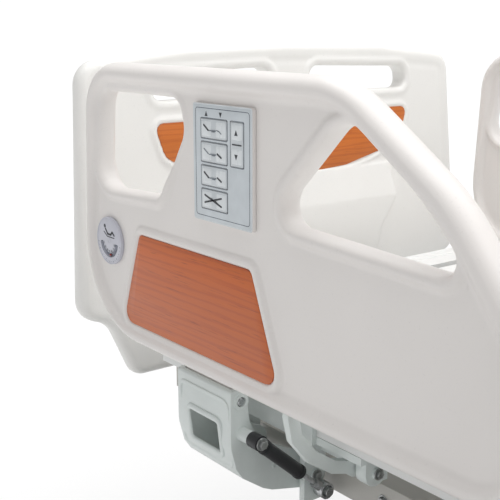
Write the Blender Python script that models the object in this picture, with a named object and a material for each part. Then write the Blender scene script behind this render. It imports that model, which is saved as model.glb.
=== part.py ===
"""Adjustable hospital bed: four swing-down side rails, sectioned deck, scissor lift and tilt.

Frame: origin on the floor under the middle of the bed, +X to the foot end, -Y the patient's right
("near"), +Z up, metres. Everything carried by the lift is written for a deck top of 0.50 m and
raised by RISE, so the modelled bed stands with its deck top at 0.60 m.
"""
import math
import bpy
import bmesh
from mathutils import Matrix, Vector

# ---------------------------------------------------------------- driving dimensions
RISE = 0.100            # lift of the upper bed at rest
GAP = 0.0003            # clearance behind an applied panel
SIDES = (-1, 1)         # near, far
ENDS = (-1, 1)          # head, foot

# Deck sections and the hinges between them, as (x, z)
DECK_TOP = 0.500
DECK_THICK = 0.030
DECK_HALF_WIDTH = 0.440
UNDER_DECK = DECK_TOP - DECK_THICK + 0.0005     # tops of the supports, just inside the deck
HINGE_Z = 0.455
BACK_HINGE = (-0.200, HINGE_Z)
THIGH_HINGE = (0.060, HINGE_Z)
CALF_HINGE = (0.360, HINGE_Z)
HINGE_PIN_R = 0.0070
HINGE_BORE_R = 0.0079

# Deck actuators
ACTUATOR_Z = 0.360
ACTUATOR_Y = 0.060      # back actuator at +y, knee actuator at -y
LEVER_DROP = HINGE_Z - ACTUATOR_Z
BACK_LEVER_ANGLE = math.radians(35)
THIGH_LEVER_ANGLE = math.radians(-20)

# Scissor lift; these heights are above the floor, RISE included
SCISSOR_LEN = 0.800     # pivot to pivot
SCISSOR_X = -0.380      # head-end pivots
SCISSOR_LOW_Z = 0.115
SCISSOR_HIGH_Z = 0.355
SCISSOR_ANGLE = math.asin((SCISSOR_HIGH_Z - SCISSOR_LOW_Z) / SCISSOR_LEN)
SCISSOR_RUN = SCISSOR_LEN * math.cos(SCISSOR_ANGLE)
SCISSOR_CLIMB = SCISSOR_LEN * math.sin(SCISSOR_ANGLE)
HEAD_LOW = (SCISSOR_X, SCISSOR_LOW_Z)
HEAD_HIGH = (SCISSOR_X, SCISSOR_HIGH_Z)
FOOT_LOW = (SCISSOR_X + SCISSOR_RUN, SCISSOR_LOW_Z)
FOOT_HIGH = (SCISSOR_X + SCISSOR_RUN, SCISSOR_HIGH_Z)
CROSSING = (SCISSOR_X + SCISSOR_RUN / 2, (SCISSOR_LOW_Z + SCISSOR_HIGH_Z) / 2)
LIFT_Z = 0.205          # lift actuator line
LIFT_ARM = LIFT_Z - SCISSOR_LOW_Z
LIFT_LEVER_ANGLE = math.radians(3.31)
LIFT_PIN_X = SCISSOR_X + LIFT_ARM * math.tan(LIFT_LEVER_ANGLE)
TILT_PIVOT = (0, 0.305)

# Castors and brake bar
CASTOR_X, CASTOR_Y = 0.620, 0.385
CASTOR_TOP = 0.1247
CASTOR_TRAIL = 0.030    # wheel axle towards the head end from the swivel
WHEEL_R = 0.050
BRAKE_AXIS = (0.715, 0.110)

# End boards
BED_HALF_LEN = 1.030    # inner face of the head board at LEAN_Z
BOARD_THICK = 0.040
LEAN = math.radians(3.15)
LEAN_Z = 0.66
POST_X, POST_Y = 1.033, 0.25    # upright pins that hold the boards

# Side rails
RAIL_OUT = 0.508        # |y| of the outer face of a raised rail
RAIL_IN = 0.458
RAIL_Z = 0.4826         # underside of a raised rail
RECESS = 0.012          # panel face below the roll, both sides
RAIL_FACE = -RAIL_OUT + RECESS

# Rail pivots as (y, z), near side
ARM_LOW = (-0.343, 0.310)       # window arm on its bracket
INNER_LOW = (-0.345, 0.363)     # inner arm on its bracket
SWING = (-0.125, 0.141)         # bracket pivot to rail pivot
ARM_HIGH = (ARM_LOW[0] + SWING[0], ARM_LOW[1] + SWING[1])
INNER_HIGH = (INNER_LOW[0] + SWING[0], INNER_LOW[1] + SWING[1])
ARM_X = (-0.720, -0.585)        # outside of both cheeks of the window arm
INNER_X = (-0.471, -0.459)
DAMPER_X = -0.550
DAMPER_HIGH = (-0.467, 0.403)
DAMPER_LOW = (-0.340, 0.291)

# ---------------------------------------------------------------- finishes
WHITE = dict(color=(0.83, 0.82, 0.79), roughness=0.42)
WOOD = dict(color=(0.60, 0.22, 0.09), roughness=0.38)
CAST_METAL = dict(color=(0.72, 0.77, 0.75), roughness=0.36)
PAINTED_STEEL = dict(color=(0.62, 0.62, 0.60), roughness=0.45)
BLACK = dict(color=(0.02, 0.02, 0.022), roughness=0.35)
BARE_STEEL = dict(color=(0.66, 0.67, 0.68), roughness=0.24, metallic=1.0)
RUBBER = dict(color=(0.10, 0.10, 0.11), roughness=0.75)
PANEL_BLUE = dict(color=(0.45, 0.52, 0.56), roughness=0.35)
KEY_BLUE = dict(color=(0.60, 0.66, 0.70), roughness=0.32)
DIAL_GREY = dict(color=(0.66, 0.66, 0.72), roughness=0.35)
RED = dict(color=(0.55, 0.10, 0.08), roughness=0.3)
DECK_GREY = dict(color=(0.78, 0.79, 0.78), roughness=0.45)

# ---------------------------------------------------------------- start clean
for old in list(bpy.data.objects):
    bpy.data.objects.remove(old, do_unlink=True)

BED = bpy.data.collections.new("adjustable_hospital_bed")
CUTTERS = bpy.data.collections.new("cutters")
bpy.context.scene.collection.children.link(BED)
bpy.context.scene.collection.children.link(CUTTERS)
CUTTERS.hide_render = True


def material(name, color, roughness, metallic=0.0):
    mat = bpy.data.materials.new(name)
    mat.use_nodes = True
    shader = mat.node_tree.nodes["Principled BSDF"]
    shader.inputs["Base Color"].default_value = (*color, 1.0)
    shader.inputs["Roughness"].default_value = roughness
    shader.inputs["Metallic"].default_value = metallic
    mat.diffuse_color = (*color, 1.0)
    return mat


# ---------------------------------------------------------------- spans: (low, high) on one axis
def grow(span, by):
    return span[0] - by, span[1] + by


def around(middle, half):
    return middle - half, middle + half


def on_side(side, span):
    return side * span[0], side * span[1]


# ---------------------------------------------------------------- pieces
def piece(bm):
    """Turn a bmesh into a working object, to be joined or cut by solid()."""
    mesh = bpy.data.meshes.new("piece")
    bm.to_mesh(mesh)
    bm.free()
    obj = bpy.data.objects.new("piece", mesh)
    CUTTERS.objects.link(obj)
    return obj


def box(x, y, z):
    bm = bmesh.new()
    bmesh.ops.create_cube(bm, size=1.0)
    middle = [(span[0] + span[1]) / 2 for span in (x, y, z)]
    size = [abs(span[1] - span[0]) for span in (x, y, z)]
    m = Matrix.Translation(middle) @ Matrix.Diagonal((*size, 1))
    bmesh.ops.transform(bm, matrix=m, verts=bm.verts)
    return piece(bm)


def box_pair(x, y, z):
    """The same box on the near and far sides."""
    return [box(x, on_side(side, y), z) for side in SIDES]


def rod(start, end, radius, segments=16):
    start, end = Vector(start), Vector(end)
    bm = bmesh.new()
    bmesh.ops.create_cone(bm, cap_ends=True, segments=segments, radius1=radius, radius2=radius,
                          depth=(end - start).length)
    turn = Vector((0, 0, 1)).rotation_difference((end - start).normalized())
    m = Matrix.Translation((start + end) / 2) @ turn.to_matrix().to_4x4()
    bmesh.ops.transform(bm, matrix=m, verts=bm.verts)
    return piece(bm)


def x_rod(yz, x, radius, segments=16):
    return rod((x[0], *yz), (x[1], *yz), radius, segments)


def y_rod(xz, y, radius, segments=16):
    return rod((xz[0], y[0], xz[1]), (xz[0], y[1], xz[1]), radius, segments)


def y_rod_pair(xz, y, radius, segments=16):
    return [y_rod(xz, span, radius, segments) for span in ((-y[1], -y[0]), y)]


def ball(centre, radius):
    bm = bmesh.new()
    bmesh.ops.create_uvsphere(bm, u_segments=14, v_segments=9, radius=radius)
    bmesh.ops.translate(bm, vec=centre, verts=bm.verts)
    return piece(bm)


def turned(profile, centre, steps):
    """Closed (radius, y) profile spun about the y axis through the centre."""
    bm = bmesh.new()
    verts = [bm.verts.new((r, y, 0)) for r, y in profile]
    for i in range(len(verts)):
        bm.edges.new((verts[i], verts[(i + 1) % len(verts)]))
    bmesh.ops.spin(bm, geom=bm.verts[:] + bm.edges[:], cent=(0, 0, 0), axis=(0, 1, 0),
                   dvec=(0, 0, 0), angle=2 * math.pi, steps=steps, use_merge=True)
    bmesh.ops.remove_doubles(bm, verts=bm.verts, dist=1e-5)
    bmesh.ops.recalc_face_normals(bm, faces=bm.faces)
    bmesh.ops.translate(bm, vec=centre, verts=bm.verts)
    return piece(bm)


def fillet(corners, segments=4):
    """Closed outline from (a, b, radius) corners; segments are per quarter turn."""
    out = []
    for i, (a, b, radius) in enumerate(corners):
        corner = Vector((a, b))
        back = Vector(corners[i - 1][:2]) - corner
        ahead = Vector(corners[(i + 1) % len(corners)][:2]) - corner
        back_len, ahead_len = back.length, ahead.length
        back, ahead = back / back_len, ahead / ahead_len
        angle = math.acos(max(-1, min(1, back.dot(ahead))))
        if radius <= 0 or angle > math.pi - 0.02:
            out.append(corner)
            continue
        # the arc may take up no more than about half of either edge
        trim = min(radius / math.tan(angle / 2), 0.49 * back_len, 0.49 * ahead_len)
        fitted = trim * math.tan(angle / 2)
        centre = corner + (back + ahead).normalized() * (fitted / math.sin(angle / 2))
        first, last = corner + back * trim - centre, corner + ahead * trim - centre
        turn = math.atan2(first.x * last.y - first.y * last.x, first.dot(last))
        count = max(1, round(segments * abs(turn) / (math.pi / 2)))
        for j in range(count + 1):
            f = turn * j / count
            out.append(centre + Vector((first.x * math.cos(f) - first.y * math.sin(f),
                                        first.x * math.sin(f) + first.y * math.cos(f))))
    return out


def plate(points, half, bevel, bevel_res):
    """Outline in local XY as a filled 2D curve, extruded both ways along its normal."""
    curve = bpy.data.curves.new("outline", "CURVE")
    curve.dimensions = "2D"
    curve.fill_mode = "BOTH"
    curve.extrude = half - bevel
    curve.bevel_depth = bevel
    curve.bevel_resolution = bevel_res
    curve.offset = -bevel
    spline = curve.splines.new("POLY")
    spline.points.add(len(points) - 1)
    for target, p in zip(spline.points, points):
        target.co = (p[0], p[1], 0, 1)
    spline.use_cyclic_u = True
    obj = bpy.data.objects.new("outline", curve)
    CUTTERS.objects.link(obj)
    mesh = evaluated_mesh(obj)
    bpy.data.objects.remove(obj, do_unlink=True)
    bm = bmesh.new()
    bm.from_mesh(mesh)
    bmesh.ops.remove_doubles(bm, verts=bm.verts, dist=1e-5)
    bmesh.ops.recalc_face_normals(bm, faces=bm.faces)
    return piece(bm)


def evaluated_mesh(obj):
    bpy.context.view_layer.update()
    graph = bpy.context.evaluated_depsgraph_get()
    return bpy.data.meshes.new_from_object(obj.evaluated_get(graph))


def transform_mesh(mesh, m):
    """Transform a mesh, keeping its normals outward when the matrix mirrors."""
    mesh.transform(m)
    if m.determinant() < 0:
        mesh.flip_normals()


# outline (a, b) to (x, z) with the normal along y, and to (y, z) with the normal along x
TO_XZ = Matrix(((1, 0, 0, 0), (0, 0, 1, 0), (0, 1, 0, 0), (0, 0, 0, 1)))
TO_YZ = Matrix(((0, 0, 1, 0), (1, 0, 0, 0), (0, 1, 0, 0), (0, 0, 0, 1)))


def plate_xz(points, y, bevel=0.0, bevel_res=0):
    obj = plate(points, abs(y[1] - y[0]) / 2, bevel, bevel_res)
    transform_mesh(obj.data, Matrix.Translation((0, (y[0] + y[1]) / 2, 0)) @ TO_XZ)
    return obj


def plate_yz(points, x, bevel=0.0, bevel_res=0):
    obj = plate(points, abs(x[1] - x[0]) / 2, bevel, bevel_res)
    transform_mesh(obj.data, Matrix.Translation(((x[0] + x[1]) / 2, 0, 0)) @ TO_YZ)
    return obj


def solid(name, finish, pieces, cuts=(), late=(), origin=(0, 0, 0), rise=RISE,
          flip_x=False, flip_y=False):
    """First piece, united with the others, less the cuts, plus the late pieces; then raised
    and mirrored."""
    base = pieces[0]
    steps = [(p, "UNION") for p in pieces[1:]]
    steps += [(p, "DIFFERENCE") for p in cuts]
    steps += [(p, "UNION") for p in late]
    for i, (other, operation) in enumerate(steps):
        mod = base.modifiers.new("step%02d" % i, "BOOLEAN")
        mod.operation = operation
        mod.solver = "EXACT"
        mod.object = other
    mesh = evaluated_mesh(base)
    for used in [other for other, _ in steps] + [base]:
        bpy.data.objects.remove(used, do_unlink=True)

    mirror = Matrix.Diagonal((-1 if flip_x else 1, -1 if flip_y else 1, 1, 1))
    m = mirror @ Matrix.Translation((0, 0, rise))
    transform_mesh(mesh, m)
    location = m @ Vector(origin)
    mesh.transform(Matrix.Translation(-location))

    bm = bmesh.new()
    bm.from_mesh(mesh)
    bmesh.ops.remove_doubles(bm, verts=bm.verts, dist=1e-5)
    bmesh.ops.dissolve_limit(bm, angle_limit=math.radians(0.5), verts=bm.verts, edges=bm.edges)
    bmesh.ops.triangulate(bm, faces=bm.faces)
    for face in bm.faces:
        face.smooth = False
    bm.to_mesh(mesh)
    bm.free()
    mesh.name = name
    mesh.materials.clear()
    mesh.materials.append(material(name, **finish))
    obj = bpy.data.objects.new(name, mesh)
    obj.location = location
    BED.objects.link(obj)


# ---------------------------------------------------------------- base, castors, brake
def base_frame():
    rail_x = (0.29, 0.46)
    pieces = box_pair((-0.76, 0.76), (0.20, 0.25), (0.095, 0.145))      # side beams
    pieces += [
        box((-0.755, -0.705), around(0, 0.24), (0.09, 0.14)),           # head cross beam
        box((0.60, 0.65), around(0, 0.24), (0.09, 0.14)),               # foot cross beam
        box((-0.66, -0.58), around(0, 0.425), (0.125, 0.155)),          # castor beams
        box((0.58, 0.66), around(0, 0.425), (0.125, 0.155)),
        box((0.16, 0.22), around(0, 0.24), (0.070, 0.108)),             # lift actuator beam
        box((0.185, 0.215), around(0, 0.03), (0.10, 0.190)),            # and its upright
    ]
    # ledges and side strips under the foot-end scissor pins
    pieces += box_pair(rail_x, (0.135, 0.240), (0.066, 0.0935))
    pieces += box_pair(grow(rail_x, -0.005), (0.203, 0.236), (0.080, 0.120))
    pieces += y_rod_pair(HEAD_LOW, (0.155, 0.21), 0.009)
    solid("base_frame", PAINTED_STEEL, pieces,
          cuts=[y_rod(BRAKE_AXIS, around(0, 0.30), 0.0105)], rise=0.0)


WHEEL_PROFILE = [       # radius, y
    (0.0072, -0.0175), (0.030, -0.0175), (0.034, -0.015), (0.046, -0.015), (WHEEL_R, -0.009),
    (WHEEL_R, 0.009), (0.046, 0.015), (0.034, 0.015), (0.030, 0.0175), (0.0072, 0.0175)]


def castor(tag, x, y):
    cheek = (0.0195, 0.0235)        # inner and outer face, from the castor's middle
    plate_low, plate_high = 0.104, 0.112
    wheel_x = x - CASTOR_TRAIL
    leg_x = around(wheel_x, 0.016)
    pieces = [
        rod((x, y, 0.108), (x, y, CASTOR_TOP), 0.026, 20),                          # swivel
        box((leg_x[0], x + 0.018), around(y, cheek[1]), (plate_low, plate_high)),   # crown
    ]
    pieces += [box(leg_x, (y + s * cheek[0], y + s * cheek[1]), (0.040, 0.108)) for s in SIDES]
    pieces.append(y_rod((wheel_x, WHEEL_R), around(y, 0.0225), 0.0060, 12))         # axle
    solid("castor_fork_" + tag, BARE_STEEL, pieces, origin=(x, y, CASTOR_TOP), rise=0.0)
    hub = (wheel_x, y, WHEEL_R)
    solid("castor_wheel_" + tag, RUBBER, [turned(WHEEL_PROFILE, hub, 20)], origin=hub, rise=0.0)


def brake_pedal_bar():
    pieces = [y_rod(BRAKE_AXIS, around(0, 0.292), 0.0090)]
    pieces += box_pair((0.71, 0.815), (0.256, 0.296), (0.106, 0.1125))      # arms
    pieces += box_pair((0.745, 0.812), (0.252, 0.30), (0.1105, 0.1175))     # pads
    solid("brake_pedal_bar", BARE_STEEL, pieces, origin=(BRAKE_AXIS[0], 0, BRAKE_AXIS[1]), rise=0.0)


base_frame()
for end, end_tag in zip(ENDS, ("head", "foot")):
    for side, side_tag in zip(SIDES, ("near", "far")):
        castor(end_tag + "_" + side_tag, end * CASTOR_X, side * CASTOR_Y)
brake_pedal_bar()


# ---------------------------------------------------------------- scissor lift
def bar(pivot, reach, y, half_width=0.020):
    """Flat bar in an XZ plane from a pivot (x, z) over a reach (dx, dz), with round ends."""
    steps = 5
    along = Vector(reach).normalized()
    across = Vector((-along.y, along.x))
    far_pivot = (pivot[0] + reach[0], pivot[1] + reach[1])
    points = []
    for centre, facing in ((Vector(pivot), math.pi), (Vector(far_pivot), 0.0)):
        for j in range(steps + 1):
            f = facing - math.pi / 2 + math.pi * j / steps
            points.append(centre + (along * math.cos(f) + across * math.sin(f)) * half_width)
    return plate_xz(points, y)


def scissor_outer():
    reach = (SCISSOR_RUN, SCISSOR_CLIMB)
    pieces = [bar(HEAD_LOW, reach, on_side(s, (0.165, 0.180))) for s in SIDES]
    lever_len = 0.1185
    lever_reach = (lever_len * math.sin(LIFT_LEVER_ANGLE), lever_len * math.cos(LIFT_LEVER_ANGLE))
    pieces += [
        y_rod(HEAD_LOW, around(0, 0.1745), 0.0165),                     # cross tube
        bar(HEAD_LOW, lever_reach, around(0, 0.006), half_width=0.018),    # lift lever
    ]
    pieces += y_rod_pair(FOOT_HIGH, (0.17, 0.209), 0.010)
    pieces += y_rod_pair(CROSSING, (0.1455, 0.17), 0.0080)

    # lever slot, its ends given as shares of the lever arm
    (low_x, low_z), (high_x, high_z) = [
        (SCISSOR_X + LIFT_ARM * math.tan(LIFT_LEVER_ANGLE) * share, SCISSOR_LOW_Z + LIFT_ARM * share)
        for share in (0.92, 1.10)]
    half, radius = 0.0068, 0.004
    slot = [(low_x - half, low_z - 0.008, radius), (low_x + half, low_z - 0.008, radius),
            (high_x + half, high_z + 0.004, radius), (high_x - half, high_z + 0.004, radius)]
    cuts = y_rod_pair(HEAD_LOW, (0.150, 0.19), 0.0098)
    cuts.append(plate_xz(fillet(slot, 2), around(0, 0.02)))
    solid("scissor_outer", CAST_METAL, pieces, cuts, origin=(SCISSOR_X, 0, SCISSOR_LOW_Z), rise=0.0)


def scissor_inner():
    reach = (SCISSOR_RUN, -SCISSOR_CLIMB)
    pieces = [bar(HEAD_HIGH, reach, on_side(s, (0.145, 0.160))) for s in SIDES]
    pieces += [y_rod(HEAD_HIGH, around(0, 0.152), 0.0165), y_rod(FOOT_LOW, around(0, 0.195), 0.010)]
    cuts = y_rod_pair(CROSSING, (0.13, 0.19), 0.0088) + y_rod_pair(HEAD_HIGH, (0.135, 0.19), 0.0098)
    solid("scissor_inner", CAST_METAL, pieces, cuts,
          origin=(CROSSING[0], 0, CROSSING[1]), rise=0.0)


def lift_frame():
    pivot = (SCISSOR_X, SCISSOR_HIGH_Z - RISE)
    beam_y = (0.215, 0.245)
    pieces = box_pair((-0.405, 0.435), beam_y, (0.235, 0.275))              # side beams
    pieces.append(box(around(0, 0.05), around(0, 0.23), (0.238, 0.272)))    # cross beam
    pieces += box_pair(around(0, 0.03), beam_y, (0.27, 0.322))              # tilt posts
    pieces += y_rod_pair(TILT_PIVOT, (0.22, 0.290), 0.0120, 20)
    pieces += y_rod_pair(pivot, (0.141, 0.22), 0.009)
    # grooves in the inner faces of the side beams for the scissor pins
    cuts = box_pair((0.27, 0.425), (0.200, 0.225), (0.2440, 0.2660))
    solid("lift_frame", PAINTED_STEEL, pieces, cuts, origin=(pivot[0], 0, pivot[1]))


def lift_actuator_body():
    start = (-0.300, 0, LIFT_Z)
    solid("lift_actuator_body", BLACK, [
        rod(start, (0.12, 0, LIFT_Z), 0.020, 20),
        box((0.04, 0.17), around(0, 0.035), (0.180, 0.232)),
        box((0.03, 0.09), around(0, 0.028), (0.150, 0.19)),
        box((0.12, 0.1847), around(0, 0.020), (0.145, 0.21)),
    ], cuts=[rod((-0.33, 0, LIFT_Z), (0.09, 0, LIFT_Z), 0.0100)], origin=start, rise=0.0)


# Rod ends; x values are measured from the pin
CHEEK_IN = 0.0070
LIFT_FORK = dict(rod_start=0.030, rod_radius=0.0080, bridge=(0.026, 0.036), cheek=(-0.009, 0.030),
                 half_y=0.0125, half_z=0.011, pin_half=0.011, pin_radius=0.0050)
DECK_FORK = dict(rod_start=0.036, rod_radius=0.0090, bridge=(0.033, 0.044), cheek=(-0.008, 0.038),
                 half_y=0.0130, half_z=0.010, pin_half=0.0115, pin_radius=0.0055)


def actuator_rod(name, fork, pin_x, y, z, far_x, rise):
    """Piston rod with a fork and pin at its head end."""
    cheek_x = (pin_x + fork["cheek"][0], pin_x + fork["cheek"][1])
    bridge_x = (pin_x + fork["bridge"][0], pin_x + fork["bridge"][1])
    fork_y, fork_z = around(y, fork["half_y"]), around(z, fork["half_z"])
    solid(name, BARE_STEEL, [
        rod((pin_x + fork["rod_start"], y, z), (far_x, y, z), fork["rod_radius"]),
        box(bridge_x, fork_y, fork_z),
        box(cheek_x, (fork_y[0], y - CHEEK_IN), fork_z),
        box(cheek_x, (y + CHEEK_IN, fork_y[1]), fork_z),
        y_rod((pin_x, z), around(y, fork["pin_half"]), fork["pin_radius"], 12),
    ], origin=(pin_x, y, z), rise=rise)


scissor_outer()
scissor_inner()
lift_frame()
lift_actuator_body()
actuator_rod("lift_actuator_rod", LIFT_FORK, LIFT_PIN_X, 0, LIFT_Z, far_x=0.05, rise=0.0)


# ---------------------------------------------------------------- upper frame and deck
def upper_frame():
    hinges = (BACK_HINGE, THIGH_HINGE)
    cross_beams = [     # x span, z span
        ((-0.925, -0.885), (0.283, 0.327)), ((0.885, 0.925), (0.283, 0.327)),
        ((-0.47, -0.43), (0.283, 0.327)), ((-0.085, -0.050), (0.297, 0.3345)),
        ((0.52, 0.56), (0.295, 0.3345)), ((0.66, 0.70), (0.295, 0.3345))]
    pieces = box_pair((-0.93, 0.93), (0.255, 0.315), (0.28, 0.33))      # side beams
    pieces += [box(x, around(0, 0.30), z) for x, z in cross_beams]
    for end in ENDS:    # stubs out to the end bars
        pieces += box_pair(on_side(end, (0.91, 1.048)), (0.235, 0.275), (0.290, 0.325))
    pieces += [box(on_side(end, (1.012, 1.052)), around(0, 0.275), (0.287, 0.333)) for end in ENDS]
    pieces += [rod((end * POST_X, s * POST_Y, 0.32), (end * POST_X, s * POST_Y, 0.43), 0.0075, 12)
               for end in ENDS for s in SIDES]
    for hinge in hinges:    # hinge posts
        pieces += box_pair(around(hinge[0], 0.0102), (0.271, 0.309), (0.325, hinge[1]))
    pieces += [y_rod(h, on_side(s, (0.27, 0.31)), 0.0115) for h in hinges for s in SIDES]
    pieces += [y_rod(h, on_side(s, (0.29, 0.394)), HINGE_PIN_R, 12) for h in hinges for s in SIDES]
    # calf rest: two posts and a cross bar
    pieces += box_pair((0.803, 0.837), (0.275, 0.300), (0.325, 0.400))
    pieces.append(box((0.80, 0.84), around(0, 0.36), (0.395, 0.4096)))
    solid("upper_frame", PAINTED_STEEL, pieces,
          cuts=y_rod_pair(TILT_PIVOT, (0.24, 0.296), 0.0129, 20),
          origin=(TILT_PIVOT[0], 0, TILT_PIVOT[1]))


def deck_panel(x, slot_places):
    """Panel with rounded corners, and the cutters for its pairs of cross slots."""
    panel = box(x, around(0, DECK_HALF_WIDTH), (DECK_TOP - DECK_THICK, DECK_TOP))
    bm = bmesh.new()
    bm.from_mesh(panel.data)
    upright = [e for e in bm.edges if abs(e.verts[0].co.z - e.verts[1].co.z) > 0.01]
    bmesh.ops.bevel(bm, geom=upright, offset=0.03, segments=3, profile=0.5, affect="EDGES")
    bm.to_mesh(panel.data)
    bm.free()
    cuts = [box(around(slot_x, 0.012), around(slot_y, 0.13), (DECK_TOP - 0.05, DECK_TOP + 0.01))
            for slot_x in slot_places for slot_y in (-0.24, 0.24)]
    return panel, cuts


def hung_lever(hinge_x, angle, root_back, y):
    """Lever hanging under a deck section and the cutter for its slot.

    The root lies root_back towards the head end from the hinge.
    """
    hinge = Vector((hinge_x, HINGE_Z))
    along = Vector((math.sin(angle), -math.cos(angle)))
    across = Vector((along.y, -along.x))
    reach = LEVER_DROP / math.cos(angle)
    slot_top = hinge + along * (LEVER_DROP - 0.009)
    slot_low = hinge + along * (reach + 0.010)
    tip = hinge + along * (reach + 0.016)
    side, slot_side = across * 0.016, across * 0.0094
    outline = [tip + side, tip - side, hinge + Vector((-root_back + 0.015, -0.004)),
               hinge + Vector((-root_back - 0.015, -0.004))]
    slot = [slot_top - slot_side, slot_top + slot_side, slot_low + slot_side, slot_low - slot_side]
    lever = plate_xz(fillet([(*p, 0.008) for p in outline], 3), around(y, 0.006))
    return lever, plate_xz(fillet([(*p, 0.003) for p in slot], 2), around(y, 0.02))


HINGE_TUBE_Y = (0.370, 0.400)       # side tubes of the back and thigh sections
TUBE_Z = (0.410, UNDER_DECK)


def hinge_bores(hinge):
    return y_rod_pair(hinge, (0.36, 0.396), HINGE_BORE_R, 12)


def back_deck():
    panel, cuts = deck_panel((-0.914, -0.208), (-0.82, -0.70, -0.58, -0.46, -0.34))
    lever, slot = hung_lever(BACK_HINGE[0], BACK_LEVER_ANGLE, 0.035, ACTUATOR_Y)
    pieces = [panel] + box_pair((-0.90, -0.190), HINGE_TUBE_Y, TUBE_Z) + [
        box((-0.262, -0.222), around(0, 0.385), (0.430, 0.462)),        # cross bar at the lever
        box((-0.262, -0.222), (0.05, 0.07), (0.440, UNDER_DECK)),       # lever block
        box((-0.88, -0.85), around(0, 0.385), (0.430, UNDER_DECK)),     # head cross bar
        lever]
    solid("back_deck", DECK_GREY, pieces, cuts + [slot] + hinge_bores(BACK_HINGE),
          origin=(BACK_HINGE[0], 0, HINGE_Z))


def seat_deck():
    panel, cuts = deck_panel((-0.150, 0.030), (-0.09, -0.03))
    foot_y, foot_z = (0.265, 0.305), (0.3303, UNDER_DECK)
    pieces = [panel] + box_pair((-0.14, -0.10), foot_y, foot_z)
    pieces += box_pair((0.0, 0.03), foot_y, foot_z)
    pieces += box_pair((-0.14, 0.03), (0.280, 0.292), (0.40, UNDER_DECK))   # webs between feet
    solid("seat_deck", DECK_GREY, pieces, cuts, origin=(-0.06, 0, DECK_TOP))


def thigh_deck():
    panel, cuts = deck_panel((0.068, 0.345), (0.15, 0.25))
    lever, slot = hung_lever(THIGH_HINGE[0], THIGH_LEVER_ANGLE, -0.030, -ACTUATOR_Y)
    pieces = [panel] + box_pair((0.050, 0.335), HINGE_TUBE_Y, TUBE_Z) + [
        box((0.082, 0.122), around(0, 0.385), (0.430, 0.462)),          # cross bar at the lever
        box((0.082, 0.122), (-0.07, -0.05), (0.440, UNDER_DECK)),       # lever block
        lever]
    pieces += box_pair((0.33, CALF_HINGE[0]), HINGE_TUBE_Y, (0.4435, 0.4665))   # calf hinge ears
    pieces += [y_rod(CALF_HINGE, on_side(s, HINGE_TUBE_Y), 0.0115) for s in SIDES]
    solid("thigh_deck", DECK_GREY, pieces,
          cuts + [slot] + hinge_bores(THIGH_HINGE) + hinge_bores(CALF_HINGE),
          origin=(THIGH_HINGE[0], 0, HINGE_Z))


def calf_deck():
    panel, cuts = deck_panel((0.368, 0.935), (0.45, 0.57, 0.69, 0.81))
    pieces = [panel] + box_pair((0.352, 0.92), (0.335, 0.365), TUBE_Z)
    pieces += [box(x, around(0, 0.35), (0.430, UNDER_DECK)) for x in ((0.40, 0.43), (0.88, 0.91))]
    pieces += y_rod_pair(CALF_HINGE, (0.35, 0.394), HINGE_PIN_R, 12)
    solid("calf_deck", DECK_GREY, pieces, cuts, origin=(CALF_HINGE[0], 0, HINGE_Z))


HOUSING_Z = (0.3348, 0.392)     # motor housings and control box, just above the cross beams


def deck_actuator(tag, y, body_x, pin_x, rod_end, bore_beyond):
    """Tube with a motor housing at its foot end, and its piston rod ending at rod_end."""
    x0, x1 = body_x
    z = ACTUATOR_Z
    solid(tag + "_actuator_body", BLACK, [
        rod((x0, y, z), (x1 - 0.02, y, z), 0.0225, 20),
        box((x1 - 0.15, x1), around(y, 0.034), HOUSING_Z),
    ], cuts=[rod((x0 - 0.02, y, z), (rod_end + bore_beyond, y, z), 0.0108)], origin=(x0, y, z))
    actuator_rod(tag + "_actuator_rod", DECK_FORK, pin_x, y, z, rod_end, RISE)


def control_box():
    x0, x1 = 0.585, 0.775
    z0, z1 = HOUSING_Z
    outline = [(x0, z0, 0.006), (x1, z0, 0.006), (x1, z1, 0.012), (x0, z1, 0.012)]
    solid("control_box", BLACK, [plate_xz(fillet(outline, 2), around(0, 0.075))],
          origin=((x0 + x1) / 2, 0, ACTUATOR_Z))


upper_frame()
back_deck()
seat_deck()
thigh_deck()
calf_deck()
deck_actuator("back", ACTUATOR_Y, (-0.075, 0.555),
              pin_x=BACK_HINGE[0] + LEVER_DROP * math.tan(BACK_LEVER_ANGLE),
              rod_end=0.26, bore_beyond=0.012)
deck_actuator("knee", -ACTUATOR_Y, (0.185, 0.555),
              pin_x=THIGH_HINGE[0] + LEVER_DROP * math.tan(THIGH_LEVER_ANGLE),
              rod_end=0.38, bore_beyond=0.085)
control_box()


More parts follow.
